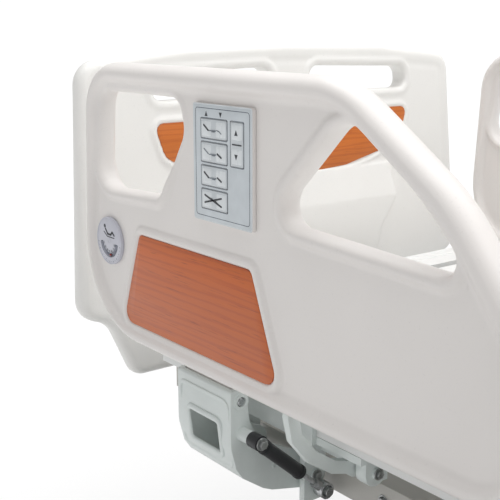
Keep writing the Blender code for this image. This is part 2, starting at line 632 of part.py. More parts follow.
# ---------------------------------------------------------------- end boards
def end_board(name, drop, flip_x, outward=0.0):
    """Board with a crowned top, two hand slots, a narrower stem and an inner panel.

    Drawn at the head end, leaning outward; drop lowers everything above the shoulders.
    """
    # tables: y, z, corner radius
    half = [(0.461, 0.910 - drop, 0.045), (0.489, 0.468, 0.040), (0.430, 0.446, 0.05),
            (0.385, 0.3397, 0.030)]
    crown = [(-0.24, 0.933 - drop, 0), (0.0, 0.937 - drop, 0), (0.24, 0.933 - drop, 0)]
    hand_slot = [(0.050, 0.841, 0.022), (0.322, 0.838, 0.020), (0.318, 0.884, 0.020),
                 (0.050, 0.892, 0.022)]
    half_panel = [(0.322, 0.798 - drop, 0.014), (0.301, 0.734 - drop, 0.03),
                  (0.19, 0.6885 - drop, 0.3)]
    outline = half + [(-y, z, r) for y, z, r in reversed(half)] + crown
    board = plate_yz(fillet(outline), around(0, BOARD_THICK / 2), bevel=0.008, bevel_res=1)
    slots = [plate_yz(fillet([(s * y, z - drop, r) for y, z, r in hand_slot]), around(0, 0.05))
             for s in SIDES]
    stand = (Matrix.Translation((-BED_HALF_LEN - outward - BOARD_THICK / 2, 0, LEAN_Z))
             @ Matrix.Rotation(-LEAN, 4, "Y") @ Matrix.Translation((0, 0, -LEAN_Z)))
    for obj in [board] + slots:
        transform_mesh(obj.data, stand)
    bores = [rod((-POST_X, s * POST_Y, 0.30), (-POST_X, s * POST_Y, 0.435), 0.0085, 12)
             for s in SIDES]
    solid(name, WHITE, [board], slots + bores, origin=(-BED_HALF_LEN, 0, 0.34), flip_x=flip_x)

    outline = [(-y, z, r) for y, z, r in half_panel] + [(0.0, 0.6766 - drop, 0)] + half_panel[::-1]
    face = BOARD_THICK / 2 + GAP
    panel = plate_yz(fillet(outline, 3), (face, face + 0.003))
    transform_mesh(panel.data, stand)
    solid(name + "_panel", WOOD, [panel], origin=(-BED_HALF_LEN + 0.003, 0, 0.74 - drop),
          flip_x=flip_x)


end_board("head_board", drop=0.0, flip_x=False)
# the shorter board stands a little further out, so both ends reach 1.085 m
end_board("foot_board", drop=0.085, flip_x=True, outward=0.00467)

# ---------------------------------------------------------------- side rails
# Corners are (u, v, radius): u along the rail from start, v up from its underside. The foot rail
# is drawn mirrored, so its u runs from the foot end towards the middle of the bed.
HEAD_RAIL = dict(
    start=-0.949,
    outline=[(-0.002, 0.434, 0.085), (0.595, 0.433, 0.15), (0.764, 0.321, 0.25),
             (0.876, 0.190, 0.14), (0.905, 0.0, 0.12), (-0.020, 0.0, 0.150)],
    pocket=[(0.034, 0.402, 0.050), (0.586, 0.400, 0.12), (0.744, 0.292, 0.20),
            (0.838, 0.170, 0.10), (0.865, 0.026, 0.09), (-0.002, 0.026, 0.12)],
    holes=[[(0.046, 0.389, 0.022), (0.258, 0.389, 0.03), (0.270, 0.345, 0.03),
            (0.206, 0.2455, 0.02), (0.024, 0.237, 0.04)],
           [(0.4577, 0.250, 0.025), (0.600, 0.392, 0.045), (0.698, 0.3265, 0.15),
            (0.768, 0.260, 0.02), (0.757, 0.2365, 0.02)]],
    insert=[(0.149, 0.178, 0.008), (0.4265, 0.178, 0.010), (0.484, 0.031, 0.018),
            (0.0955, 0.031, 0.018)],
)
FOOT_RAIL = dict(
    start=-0.865,
    outline=[(0.000, 0.0, 0.10), (0.012, 0.150, 0.10), (0.105, 0.300, 0.20),
             (0.270, 0.405, 0.15), (0.648, 0.405, 0.075), (0.660, 0.0, 0.09)],
    pocket=[(0.038, 0.026, 0.08), (0.046, 0.145, 0.08), (0.130, 0.270, 0.16),
            (0.280, 0.370, 0.13), (0.620, 0.370, 0.045), (0.630, 0.026, 0.08)],
    holes=[[(0.160, 0.235, 0.025), (0.290, 0.352, 0.06), (0.590, 0.352, 0.035),
            (0.595, 0.235, 0.03)]],
    insert=[(0.190, 0.031, 0.018), (0.235, 0.178, 0.010), (0.505, 0.178, 0.008),
            (0.555, 0.031, 0.018)],
)

# Window arm section, (y, z, radius): its outside, and the hollow that leaves a U with the web out
ARM_PROFILE = [
    (-0.4865, 0.470, 0.006), (-0.4865, 0.385, 0.03), (-0.474, 0.338, 0.03), (-0.420, 0.300, 0.05),
    (-0.343, 0.2815, 0.020), (-0.3195, 0.3000, 0.018), (-0.3215, 0.3320, 0.018),
    (-0.372, 0.352, 0.03), (-0.428, 0.380, 0.04), (-0.452, 0.412, 0.03), (-0.4600, 0.470, 0.008)]
ARM_HOLLOW = [
    (-0.4795, 0.490, 0), (-0.4795, 0.386, 0.025), (-0.4680, 0.345, 0.025), (-0.417, 0.3085, 0.045),
    (-0.372, 0.2965, 0.01), (-0.300, 0.2700, 0), (-0.300, 0.490, 0)]
# Inner arm centre line, (y, z), bowed outward
INNER_PATH = [INNER_HIGH, (-0.477, 0.472), (-0.470, 0.440), (-0.443, 0.406), (-0.404, 0.380),
              INNER_LOW]


def rail_shell(tag, spec, flips):
    def outline(corners, segments):
        return fillet([(u + spec["start"], v + RAIL_Z, r) for u, v, r in corners], segments)

    y0, y1 = -RAIL_OUT, -RAIL_IN
    shell = plate_xz(outline(spec["outline"], 5), (y0, y1), bevel=0.010)
    pocket = outline(spec["pocket"], 4)
    cuts = [plate_xz(pocket, (y0 - 0.02, RAIL_FACE)), plate_xz(pocket, (y1 - RECESS, y1 + 0.02))]
    cuts += [plate_xz(outline(hole, 3), grow((y0, y1), 0.03)) for hole in spec["holes"]]
    cuts.append(box(grow(INNER_X, 0.0022), (-0.4935, -0.44), (0.470, 0.5370)))  # inner arm slot
    block_x = grow(ARM_X, -0.0095)
    solid("rail_" + tag, WHITE, [shell], cuts, late=[
        box(block_x, around(ARM_HIGH[0], 0.0098), (ARM_HIGH[1], 0.500)),    # block in the arm
        x_rod(ARM_HIGH, block_x, 0.0100),
        x_rod(ARM_HIGH, grow(ARM_X, 0.001), 0.0060, 12),                    # pins
        x_rod(INNER_HIGH, grow(INNER_X, 0.006), 0.0055, 12),
    ], origin=(ARM_X[0], *ARM_HIGH), **flips)
    insert_y = (RAIL_FACE - GAP - 0.003, RAIL_FACE - GAP)
    solid("rail_insert_" + tag, WOOD, [plate_xz(outline(spec["insert"], 3), insert_y)],
          origin=(spec["start"] + 0.3, RAIL_FACE, 0.58), **flips)


def window_arm(tag, damper, flips):
    """Cast U section curving in to the bracket pivot; the damper's upper pin stands on it."""
    pieces = [plate_yz(fillet(ARM_PROFILE, 3), ARM_X)]
    cuts = [plate_yz(fillet(ARM_HOLLOW, 3), grow(ARM_X, -0.008)),
            box((ARM_X[0] + 0.028, ARM_X[1] - 0.026), (-0.52, -0.470), (0.362, 0.418)),
            x_rod(ARM_LOW, grow(ARM_X, 0.02), 0.0078, 12),
            x_rod(ARM_HIGH, grow(ARM_X, 0.02), 0.0070, 12)]
    if damper:
        pieces += [x_rod(DAMPER_HIGH, (ARM_X[1] - 0.004, DAMPER_X - 0.0118), 0.0100),
                   x_rod(DAMPER_HIGH, (ARM_X[1] - 0.002, DAMPER_X + 0.0120), 0.0045, 12)]
    solid("rail_arm_" + tag, CAST_METAL, pieces, cuts, origin=(ARM_X[0], *ARM_LOW), **flips)


def inner_arm(tag, flips):
    half_width = 0.0095
    path = [Vector(p) for p in INNER_PATH]
    left, right = [], []
    for i, point in enumerate(path):
        along = (path[min(len(path) - 1, i + 1)] - path[max(0, i - 1)]).normalized()
        across = Vector((-along.y, along.x))
        left.append(point + across * half_width)
        right.append(point - across * half_width)

    def tip(end, neighbour):
        out = (end - neighbour).normalized() * half_width
        return [end + Matrix.Rotation(math.radians(f), 2) @ out for f in (50, 0, -50)]

    loop = left + tip(path[-1], path[-2]) + right[::-1] + tip(path[0], path[1])
    solid("rail_inner_arm_" + tag, CAST_METAL, [plate_yz(loop, INNER_X)],
          cuts=[x_rod(p, grow(INNER_X, 0.02), 0.0063, 12) for p in (INNER_HIGH, INNER_LOW)],
          origin=(INNER_X[0], *INNER_LOW), **flips)


def lug(centre, half, x, top):
    """Hanging plate round a pivot, rounded below."""
    y, z = centre
    radius = half * 0.95
    return plate_yz(fillet([(y - half, top, 0), (y - half, z - half, radius),
                            (y + half, z - half, radius), (y + half, top, 0)], 3), x)


def rail_bracket(tag, at_foot, damper, flips):
    """Bracket with the fixed pivots of both arms."""
    top = 0.392 if at_foot else 0.402
    middle_lug_x = (-0.5775, -0.5665)
    arm_lugs = [lug(ARM_LOW, 0.021, x, top) for x in ((-0.737, -0.7275), middle_lug_x)]
    inner_lugs = [lug(INNER_LOW, 0.020, x, top) for x in ((-0.490, -0.4735), (-0.4565, -0.436))]
    if at_foot:     # bolts to the outer face of the upper side beam
        side_y = (-0.3253, -0.3153)
        pieces = [box((-0.5740, -0.430), side_y, (0.283, 0.398)),
                  box((-0.742, -0.7300), side_y, (0.283, 0.396)),
                  box((-0.7425, -0.4305), (-0.371, -0.3165), (0.3885, 0.3975))]
        pieces += arm_lugs + inner_lugs
    else:           # hangs from the side tube of the back section
        pieces = [box((-0.742, -0.410), (-0.4005, -0.3195), (0.3985, 0.4097)),
                  box((-0.742, -0.500), (-0.4085, -0.4003), (0.3985, 0.4450))]
        pieces += arm_lugs
        pieces.append(box((-0.5760, -0.438), (-0.3310, -0.3205), (0.346, top)))
        pieces += inner_lugs
    pieces += [x_rod(ARM_LOW, (-0.7300, -0.572), 0.0070, 12),       # pins
               x_rod(INNER_LOW, (-0.480, -0.450), 0.0055, 12),
               x_rod(INNER_LOW, (-0.440, -0.4310), 0.0085, 12),     # pin heads
               x_rod(ARM_LOW, (-0.570, -0.5620), 0.0085, 12)]
    if damper:
        pieces += [box(middle_lug_x, (-0.364, -0.332), (0.268, 0.305)),
                   x_rod(DAMPER_LOW, (-0.568, DAMPER_X + 0.0120), 0.0038, 12)]
    solid("rail_bracket_" + tag, CAST_METAL, pieces, origin=(-0.5775, *ARM_LOW), **flips)


def rail_damper():
    high = Vector((DAMPER_X, *DAMPER_HIGH))
    low = Vector((DAMPER_X, *DAMPER_LOW))
    down = (low - high).normalized()
    through = around(DAMPER_X, 0.03)
    solid("rail_damper_cylinder", BLACK, [
        rod(high + down * 0.004, high + down * 0.108, 0.0105),
        x_rod(DAMPER_HIGH, around(DAMPER_X, 0.0105), 0.0115),
    ], cuts=[
        rod(high + down * 0.030, high + down * 0.12, 0.0052, 12),
        x_rod(DAMPER_HIGH, through, 0.0054, 12),
    ], origin=high)
    solid("rail_damper_rod", BARE_STEEL, [
        rod(high + down * 0.080, low - down * 0.010, 0.0040, 12),
        rod(low - down * 0.026, low - down * 0.006, 0.0075, 12),
        x_rod(DAMPER_LOW, around(DAMPER_X, 0.0095), 0.0128),
    ], cuts=[x_rod(DAMPER_LOW, through, 0.0088)], origin=low)


# Every rail is drawn at the near head corner, then mirrored; that one alone has a damper
for at_foot, end_tag, spec in ((False, "head", HEAD_RAIL), (True, "foot", FOOT_RAIL)):
    for is_far, side_tag in ((False, "near"), (True, "far")):
        tag = end_tag + "_" + side_tag
        flips = dict(flip_x=at_foot, flip_y=is_far)
        damper = tag == "head_near"
        rail_shell(tag, spec, flips)
        window_arm(tag, damper, flips)
        inner_arm(tag, flips)
        rail_bracket(tag, at_foot, damper, flips)
rail_damper()

# ---------------------------------------------------------------- controls on the near head rail
BACKING = RAIL_FACE - GAP           # back of the panel and the dial
PANEL_X = (-0.6452, -0.5136)
PANEL_Z = (0.7122, 0.8710)
PANEL_OUT = BACKING - 0.0060        # outer face of the panel
KEYS = (    # left, right as shares of the panel width; top, bottom as shares down its height
    ("key_back", 0.145, 0.590, 0.125, 0.290),
    ("key_legs", 0.145, 0.590, 0.322, 0.490),
    ("key_back_and_legs", 0.145, 0.590, 0.522, 0.690),
    ("key_tilt", 0.145, 0.590, 0.722, 0.890),
    ("key_height", 0.650, 0.860, 0.125, 0.490),
)


def key_spans(left, right, top, bottom):
    width, height = PANEL_X[1] - PANEL_X[0], PANEL_Z[1] - PANEL_Z[0]
    return ((PANEL_X[0] + left * width, PANEL_X[0] + right * width),
            (PANEL_Z[1] - bottom * height, PANEL_Z[1] - top * height))


def rounded_rect(x, z, radius, segments):
    return fillet([(x[0], z[0], radius), (x[1], z[0], radius),
                   (x[1], z[1], radius), (x[0], z[1], radius)], segments)


def control_panel():
    cuts = []
    for _, *shares in KEYS:
        x, z = key_spans(*shares)
        cuts.append(box(x, (PANEL_OUT - 0.01, PANEL_OUT + 0.0038), z))
    solid("control_panel", PANEL_BLUE,
          [plate_xz(rounded_rect(PANEL_X, PANEL_Z, 0.004, 3), (PANEL_OUT, BACKING))], cuts,
          origin=(sum(PANEL_X) / 2, RAIL_FACE, sum(PANEL_Z) / 2))


def key(name, shares):
    x, z = key_spans(*shares)
    clearance = 0.0006
    outline = rounded_rect(grow(x, -clearance), grow(z, -clearance), 0.002, 2)
    solid(name, KEY_BLUE, [plate_xz(outline, (PANEL_OUT - 0.0006, PANEL_OUT + 0.0020))],
          origin=(sum(x) / 2, PANEL_OUT + 0.0007, sum(z) / 2))


def angle_dial():
    """Disc with a curved track in its lower half and a ball at the bottom of the track."""
    x, z = -0.8907, 0.6361
    track_out, track_in = 0.0262, 0.0208
    track = []
    for radius, step in ((track_out, 16), (track_in, -16)):     # out one way, back the other
        for i in range(11):
            f = math.radians(-5 * step + step * i)
            track.append((x + radius * math.sin(f), z - radius * math.cos(f)))
    solid("angle_dial", DIAL_GREY, [y_rod((x, z), (BACKING - 0.0050, BACKING), 0.0385, 40)],
          cuts=[plate_xz(track, (BACKING - 0.01, BACKING - 0.0012))], origin=(x, RAIL_FACE, z))
    ball_y = BACKING - 0.0032
    solid("dial_ball", RED, [ball((x, ball_y, z - (track_out + track_in) / 2), 0.0017)],
          origin=(x, ball_y, z))


control_panel()
for key_name, *key_shares in KEYS:
    key(key_name, key_shares)
angle_dial()
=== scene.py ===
# Height-adjustable care bed on castors, dressed over its CAD pieces, in metres.
# -x is the head end, +x the foot end, -y the near side, +z up; the floor lies at z = 0.
import math

import bpy
import numpy as np
from mathutils import Matrix, Vector

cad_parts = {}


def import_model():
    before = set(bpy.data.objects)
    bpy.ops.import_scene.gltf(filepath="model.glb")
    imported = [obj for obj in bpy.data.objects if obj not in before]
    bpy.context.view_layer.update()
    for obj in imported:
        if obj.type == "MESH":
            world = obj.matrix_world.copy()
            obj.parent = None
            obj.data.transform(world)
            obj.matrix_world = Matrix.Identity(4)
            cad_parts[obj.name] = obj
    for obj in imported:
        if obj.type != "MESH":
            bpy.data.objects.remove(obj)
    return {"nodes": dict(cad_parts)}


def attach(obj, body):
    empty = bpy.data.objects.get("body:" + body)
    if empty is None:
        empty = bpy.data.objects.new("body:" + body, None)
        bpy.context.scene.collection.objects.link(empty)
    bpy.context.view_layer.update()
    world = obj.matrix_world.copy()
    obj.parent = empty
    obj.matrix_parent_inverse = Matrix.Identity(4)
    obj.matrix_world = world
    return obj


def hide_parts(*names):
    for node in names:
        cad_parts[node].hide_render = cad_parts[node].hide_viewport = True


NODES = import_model()["nodes"]
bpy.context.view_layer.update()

# ================================================================ driving sizes
# Heights of the upper bed are written for a deck top at DECK_TOP, then raised by DECK_LIFT.
DECK_LIFT = 0.10
DECK_TOP = 0.500
ENDS = (("head", False), ("foot", True))       # name, mirrored in x
SIDES = (("near", False), ("far", True))       # name, mirrored in y
BOTH = (-1, 1)

# Rails, drawn at the head end on the near side. Pivots are (y, z).
RAIL_Y, RAIL_Z = -0.483, 0.4826                # middle of the thickness, bottom edge
OUTER_TOP, OUTER_LOW = (-0.468, 0.451), (-0.343, 0.310)
INNER_TOP, INNER_LOW = (-0.470, 0.504), (-0.345, 0.363)
ARM_X, INNER_X = (-0.720, -0.585), (-0.471, -0.459)
DAMPER_TOP = np.array((-0.550, -0.467, 0.403))
DAMPER_LOW = np.array((-0.550, -0.340, 0.291))

BOARD_THICK, HALF_BED = 0.040, 1.030
BOARD_LEAN, LEAN_Z = math.radians(3.15), 0.66  # boards lean about a line at LEAN_Z

CASTOR_X, CASTOR_Y, AXLE_Z = 0.62, 0.385, 0.05
BASE_BEAM_Y, FRAME_BEAM_Y = 0.225, 0.285
SCISSOR_X, SCISSOR_Z = (-0.380, 0.393), (0.116, 0.354)

RAIL_STEP = 0.0036        # grid steps of the moulded shells
BOARD_STEP = 0.0045


# ================================================================ material tools
def linear(colour, gain=1.0):
    """sRGB 0-255, times one gain or a gain per channel, to linear rgba."""
    out = []
    for value in np.multiply(colour, gain):
        value = value / 255.0
        out.append(value / 12.92 if value <= 0.04045 else ((value + 0.055) / 1.055) ** 2.4)
    return (*out, 1.0)


def add_node(tree, kind, inputs=None, **settings):
    """New shader node; each input is either a value or an output socket to link."""
    node = tree.nodes.new("ShaderNode" + kind)
    for name, value in settings.items():
        setattr(node, name, value)
    for socket, value in (inputs or {}).items():
        if hasattr(value, "is_output"):
            tree.links.new(value, node.inputs[socket])
        else:
            node.inputs[socket].default_value = value
    return node


class Shader:
    """A material under construction: texture helpers that end in one principled shader."""

    def __init__(self, name):
        self.material = bpy.data.materials.new(name)
        self.material.use_nodes = True
        self.tree = self.material.node_tree
        self.tree.nodes.clear()
        self.output = self.node("OutputMaterial")
        self.surface = self.node("BsdfPrincipled")
        self.link(self.surface.outputs[0], self.output.inputs["Surface"])
        self.position = self.node("TexCoord").outputs["Object"]

    def node(self, kind, inputs=None, **settings):
        return add_node(self.tree, kind, inputs, **settings)

    def link(self, source, target):
        self.tree.links.new(source, target)

    def stretched(self, scale):
        return self.node("Mapping", {"Scale": scale, "Vector": self.position}).outputs[0]

    def grained(self, axis, across, along):
        """Texture space with one scale across an axis and another along it."""
        scale = [across] * 3
        scale[axis] = along
        return self.stretched(scale)

    def noise(self, scale, detail=4.0, rough=0.5, distort=0.0, source=None):
        return self.node("TexNoise", {
            "Scale": scale, "Detail": detail, "Roughness": rough, "Distortion": distort,
            "Vector": source or self.position}).outputs["Fac"]

    def tone(self, value, span, dark, light):
        """Colour ramp from dark to light over a span of the value."""
        node = self.node("ValToRGB", {0: value})
        for element, place, colour in zip(node.color_ramp.elements, span, (dark, light)):
            element.position = place
            element.color = colour
        return node.outputs[0]

    def mix(self, below, above, amount):
        return self.node("Mix", {6: below, 7: above, 0: amount}, data_type="RGBA").outputs[2]

    def fade(self, value, span, to, **settings):
        """Map a span of the value to another span."""
        return self.node("MapRange", {0: value, 1: span[0], 2: span[1], 3: to[0], 4: to[1]},
                         **settings).outputs[0]

    def overlay(self, base, colour, mask, span, amount):
        """Lay a colour over the base where the mask rises through the span."""
        return self.mix(base, colour, self.fade(mask, span, to=(0.0, amount)))

    def math(self, operation, *values):
        return self.node("Math", dict(enumerate(values)), operation=operation).outputs[0]

    def bump(self, height, strength, distance, before=None):
        inputs = {"Strength": strength, "Distance": distance, "Height": height}
        if before is not None:
            inputs["Normal"] = before
        return self.node("Bump", inputs).outputs[0]

    def finish(self, colour, rough, normal, metallic=0.0, **settings):
        inputs = self.surface.inputs
        self.link(colour, inputs["Base Color"])
        self.link(rough, inputs["Roughness"])
        self.link(normal, inputs["Normal"])
        inputs["Metallic"].default_value = metallic
        for name, value in settings.items():
            inputs[name.replace("_", " ")].default_value = value
        return self.material


# ================================================================ materials
def plastic(name, colour, rough=0.42, vary=0.03, grain=0.00012, ripple=18.0, dirt=0.05,
            coat=0.0):
    """Moulded plastic: slow tone drift, faint scuffs, fine grain and a soft ripple."""
    shader = Shader(name)
    drift = shader.noise(3.5, detail=5, rough=0.55, distort=0.4)
    base = shader.tone(drift, (0.3, 0.7), dark=linear(colour, 1 - vary),
                       light=linear(colour, 1 + vary * 0.6))
    speck = shader.noise(260.0, detail=2, rough=0.6)
    base = shader.overlay(base, linear(colour, 0.90), speck, span=(0.62, 0.80), amount=0.35)
    scuff = shader.noise(1.0, detail=6, rough=0.7, distort=1.5,
                         source=shader.stretched((9, 9, 26)))
    base = shader.overlay(base, linear(colour, 0.86), scuff, span=(0.60, 0.82), amount=dirt * 4)
    cloud = shader.noise(22.0, detail=6, rough=0.6)
    gloss = shader.fade(cloud, span=(0.3, 0.7), to=(rough - 0.05, rough + 0.07))
    gloss = shader.math("ADD", gloss, shader.fade(scuff, span=(0.58, 0.80), to=(0.0, 0.10)))
    fine = shader.noise(1500.0, detail=2)
    soft = shader.noise(ripple, detail=3)
    normal = shader.bump(soft, strength=0.12, distance=0.0012)
    normal = shader.bump(fine, strength=0.20, distance=grain, before=normal)
    return shader.finish(base, gloss, normal, Coat_Weight=coat, Coat_Roughness=0.25)


def paint(name, colour, rough, chips, cast=False):
    """Powder coat, or a sand-cast part: pebbled skin, rubbed marks and small chips."""
    shader = Shader(name)
    drift = shader.noise(5.0, detail=6, rough=0.6, distort=0.5)
    base = shader.tone(drift, (0.28, 0.72), dark=linear(colour, 0.94),
                       light=linear(colour, 1.03))
    rub = shader.noise(1.0, detail=8, rough=0.75, distort=2.0,
                       source=shader.stretched((14, 40, 40)))
    base = shader.overlay(base, linear(colour, 0.82), rub, span=(0.60, 0.78), amount=chips)
    chip = shader.noise(120.0, detail=4, rough=0.7)
    base = shader.overlay(base, linear((118, 118, 116)), chip, span=(0.735, 0.76), amount=chips)
    cloud = shader.noise(40.0, detail=5, rough=0.6)
    gloss = shader.fade(cloud, span=(0.3, 0.7), to=(rough - 0.06, rough + 0.08))
    if cast:
        sand = shader.noise(230.0, detail=5, rough=0.65)
        normal = shader.bump(sand, strength=0.45, distance=0.0006)
        swell = shader.noise(34.0, detail=3)
        normal = shader.bump(swell, strength=0.25, distance=0.0014, before=normal)
    else:
        cells = shader.node("TexVoronoi", {"Scale": 420.0, "Vector": shader.position})
        normal = shader.bump(cells.outputs["Distance"], strength=0.22, distance=0.00025)
        swell = shader.noise(60.0, detail=3)
        normal = shader.bump(swell, strength=0.12, distance=0.0008, before=normal)
    return shader.finish(base, gloss, normal, Coat_Weight=0.12, Coat_Roughness=0.22)


def steel(name, axis, colour=(196, 198, 200), rough=0.24, stain=0.35):
    """Bright zinc or ground steel: drawn lines along one axis, slight clouding."""
    shader = Shader(name)
    lines = shader.noise(1.0, detail=5, rough=0.6,
                         source=shader.grained(axis, across=260.0, along=6.0))
    cloud = shader.noise(18.0, detail=6, rough=0.6, distort=0.6)
    base = shader.tone(lines, (0.25, 0.75), dark=linear(colour, 0.84),
                       light=linear(colour, 1.06))
    base = shader.overlay(base, linear((120, 116, 108)), cloud, span=(0.58, 0.80), amount=stain)
    gloss = shader.fade(cloud, span=(0.3, 0.75), to=(rough - 0.06, rough + 0.16))
    normal = shader.bump(lines, strength=0.10, distance=0.0002)
    return shader.finish(base, gloss, normal, metallic=1.0)


def rubber(name, colour):
    """Dusty dark rubber."""
    shader = Shader(name)
    drift = shader.noise(30.0, detail=6, rough=0.65, distort=0.3)
    base = shader.tone(drift, (0.3, 0.72), dark=linear(colour, 0.78),
                       light=linear(colour, 1.25))
    dust = shader.noise(7.0, detail=6, rough=0.7)
    base = shader.overlay(base, linear((150, 147, 140)), dust, span=(0.58, 0.85), amount=0.35)
    gloss = shader.fade(dust, span=(0.3, 0.8), to=(0.62, 0.9))
    skin = shader.noise(700.0, detail=3, rough=0.6)
    return shader.finish(base, gloss, shader.bump(skin, strength=0.3, distance=0.0003))


def wood(name, colour, axis):
    """Printed wood-grain foil under lacquer; the grain runs along one axis."""
    shader = Shader(name)
    board = shader.grained(axis, across=1.0, along=0.055)
    drift = shader.noise(9.0, detail=3, distort=0.3, source=board)
    figure = shader.node("TexWave", {
        "Scale": 26.0, "Distortion": 9.0, "Detail": 4.0, "Detail Scale": 1.6,
        "Vector": board}, bands_direction="Z").outputs["Fac"]
    fibre = shader.noise(1.0, detail=4, rough=0.65, distort=0.15,
                         source=shader.grained(axis, across=240.0, along=7.0))
    pore = shader.noise(1.0, detail=2,
                        source=shader.grained(axis, across=620.0, along=24.0))
    base = shader.tone(drift, (0.25, 0.75), dark=linear(colour, 0.945),
                       light=linear(colour, 1.055))
    base = shader.overlay(base, linear(colour, (0.90, 0.80, 0.74)), figure,
                          span=(0.55, 1.0), amount=0.60)
    base = shader.overlay(base, linear(colour, (1.05, 1.10, 1.15)), fibre,
                          span=(0.52, 0.78), amount=0.65)
    base = shader.overlay(base, linear(colour, (0.74, 0.60, 0.52)), pore,
                          span=(0.62, 0.74), amount=0.65)
    gloss = shader.fade(fibre, span=(0.3, 0.7), to=(0.34, 0.46))
    normal = shader.bump(pore, strength=0.15, distance=0.0002)
    normal = shader.bump(fibre, strength=0.10, distance=0.0003, before=normal)
    return shader.finish(base, gloss, normal, Coat_Weight=0.25, Coat_Roughness=0.30)


def film(name, colour, rough=0.33, vary=0.02, sides=None):
    """Printed membrane: fine grain, slight waviness; faces not square to y may differ."""
    shader = Shader(name)
    base = shader.tone(shader.noise(40.0), (0.3, 0.7), dark=linear(colour, 1 - vary),
                       light=linear(colour, 1 + vary))
    smear = shader.noise(1.0, detail=5, rough=0.6, distort=1.0,
                         source=shader.stretched((60, 60, 20)))
    base = shader.overlay(base, linear(colour, 1.06), smear, span=(0.55, 0.8), amount=0.4)
    gloss = shader.fade(smear, span=(0.3, 0.8), to=(rough - 0.05, rough + 0.12))
    normal = shader.bump(shader.noise(2600.0, detail=2), strength=0.15, distance=0.00005)
    normal = shader.bump(shader.noise(70.0, detail=2), strength=0.10, distance=0.0005,
                         before=normal)
    if sides:
        facing = shader.node("NewGeometry").outputs["True Normal"]
        parts = shader.node("SeparateXYZ", {0: facing})
        square = shader.math("ABSOLUTE", parts.outputs["Y"])
        base = shader.mix(base, linear(sides),
                          shader.fade(square, span=(0.80, 0.95), to=(1.0, 0.0)))
    return shader.finish(base, gloss, normal, Coat_Weight=0.15, Coat_Roughness=0.2)


SHELL_COLOUR = (233, 229, 226)
WHITE = plastic("white_moulding_shell", SHELL_COLOUR, rough=0.38, vary=0.014, dirt=0.02)
BOARD_WHITE = plastic("white_moulding_board", (238, 237, 234), vary=0.014, dirt=0.02)
WOOD_RAIL = wood("wood_rail", (197, 93, 12), axis=0)
WOOD_BOARD = wood("wood_board", (202, 108, 30), axis=1)
CAST = paint("cast_arm_paint", (222, 229, 227), rough=0.36, chips=0.22, cast=True)
FRAME_PAINT = paint("frame_paint", (186, 184, 178), rough=0.40, chips=0.3)
DECK = plastic("deck_plastic", (228, 229, 228), rough=0.50, grain=0.0003, ripple=30.0,
               dirt=0.04)
BLACK = plastic("black_housing", (38, 39, 42), vary=0.08, grain=0.0003, dirt=0.04)
STEEL_X = steel("steel_drawn_x", axis=0)
STEEL_Y = steel("steel_drawn_y", axis=1)
STEEL_Z = steel("steel_drawn_z", axis=2)
BOLT = steel("bolt_zinc", axis=2, colour=(176, 178, 178), rough=0.30, stain=0.5)
RUBBER = rubber("castor_tyre", (58, 60, 63))
GREY_HUB = plastic("castor_hub_plastic", (150, 152, 154), rough=0.5, vary=0.04)
FILM = film("panel_film_grey", (203, 210, 215), sides=SHELL_COLOUR)
KEY = film("key_film_light", (204, 210, 214))
PAD = film("key_pad_light", (221, 226, 229), rough=0.28)
INK = film("ink_dark", (34, 38, 46), rough=0.45, vary=0.12)
INK_GREY = film("ink_mid_grey", (118, 126, 134), rough=0.45, vary=0.08)
INK_LINE = film("line_slate", (84, 94, 106), rough=0.42, vary=0.10)
DIAL = film("dial_lavender", (196, 197, 207), rough=0.34)
DIAL_GROOVE = film("dial_groove", (140, 143, 155), rough=0.40)
RED = plastic("ball_red", (196, 62, 44), rough=0.22, vary=0.04, dirt=0.0, coat=0.6)
DARK_RUBBER = plastic("dark_rubber", (48, 49, 52), rough=0.62, vary=0.06, grain=0.0004)
CABLE = plastic("cable_sheath", (30, 31, 33), rough=0.5, vary=0.05)
RED_TREAD = plastic("brake_tread", (178, 62, 50), rough=0.5, vary=0.04, grain=0.0003)
GREEN_TREAD = plastic("steer_tread", (72, 132, 84), rough=0.5, vary=0.04, grain=0.0003)


# ================================================================ mesh tools
def mesh_object(name, verts, faces, material, body, slot, smooth=None, up=DECK_LIFT,
                mirror=(False, False)):
    """Mesh riding on a body, raised by up and mirrored in x or y as asked."""
    verts = np.array(verts, float)
    verts[:, 2] += up
    for axis in (0, 1):
        if mirror[axis]:
            verts[:, axis] *= -1
    faces = [tuple(face) for face in faces]
    if mirror[0] != mirror[1]:
        faces = [face[::-1] for face in faces]
    mesh = bpy.data.meshes.new(name)
    mesh.from_pydata([tuple(vert) for vert in verts], [], faces)
    mesh.update()
    item = bpy.data.objects.new(name, mesh)
    bpy.context.scene.collection.objects.link(item)
    mesh.materials.append(material)
    mesh.shade_smooth()
    if smooth is not None:
        mesh.set_sharp_from_angle(angle=math.radians(smooth))
    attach(item, body)
    return item


class Parts:
    """Collects many small shapes, each (vertices, faces), in one mesh."""

    def __init__(self):
        self.verts, self.faces = [], []

    def add(self, shape):
        verts, faces = shape
        start = len(self.verts)
        self.verts.extend([tuple(float(value) for value in vert) for vert in verts])
        self.faces.extend([tuple(i + start for i in face) for face in faces])

    def build(self, name, material, body, slot, smooth=38, **placing):
        mesh_object(name, self.verts, self.faces, material, body, slot, smooth, **placing)


def unit(vector):
    return vector / np.linalg.norm(vector)


def basis(axis):
    """Unit vector along the axis and two across it."""
    along = unit(np.array(axis, float))
    helper = np.array((0, 0, 1.0)) if abs(along[2]) < 0.9 else np.array((1.0, 0, 0))
    side = unit(np.cross(helper, along))
    return along, side, np.cross(along, side)


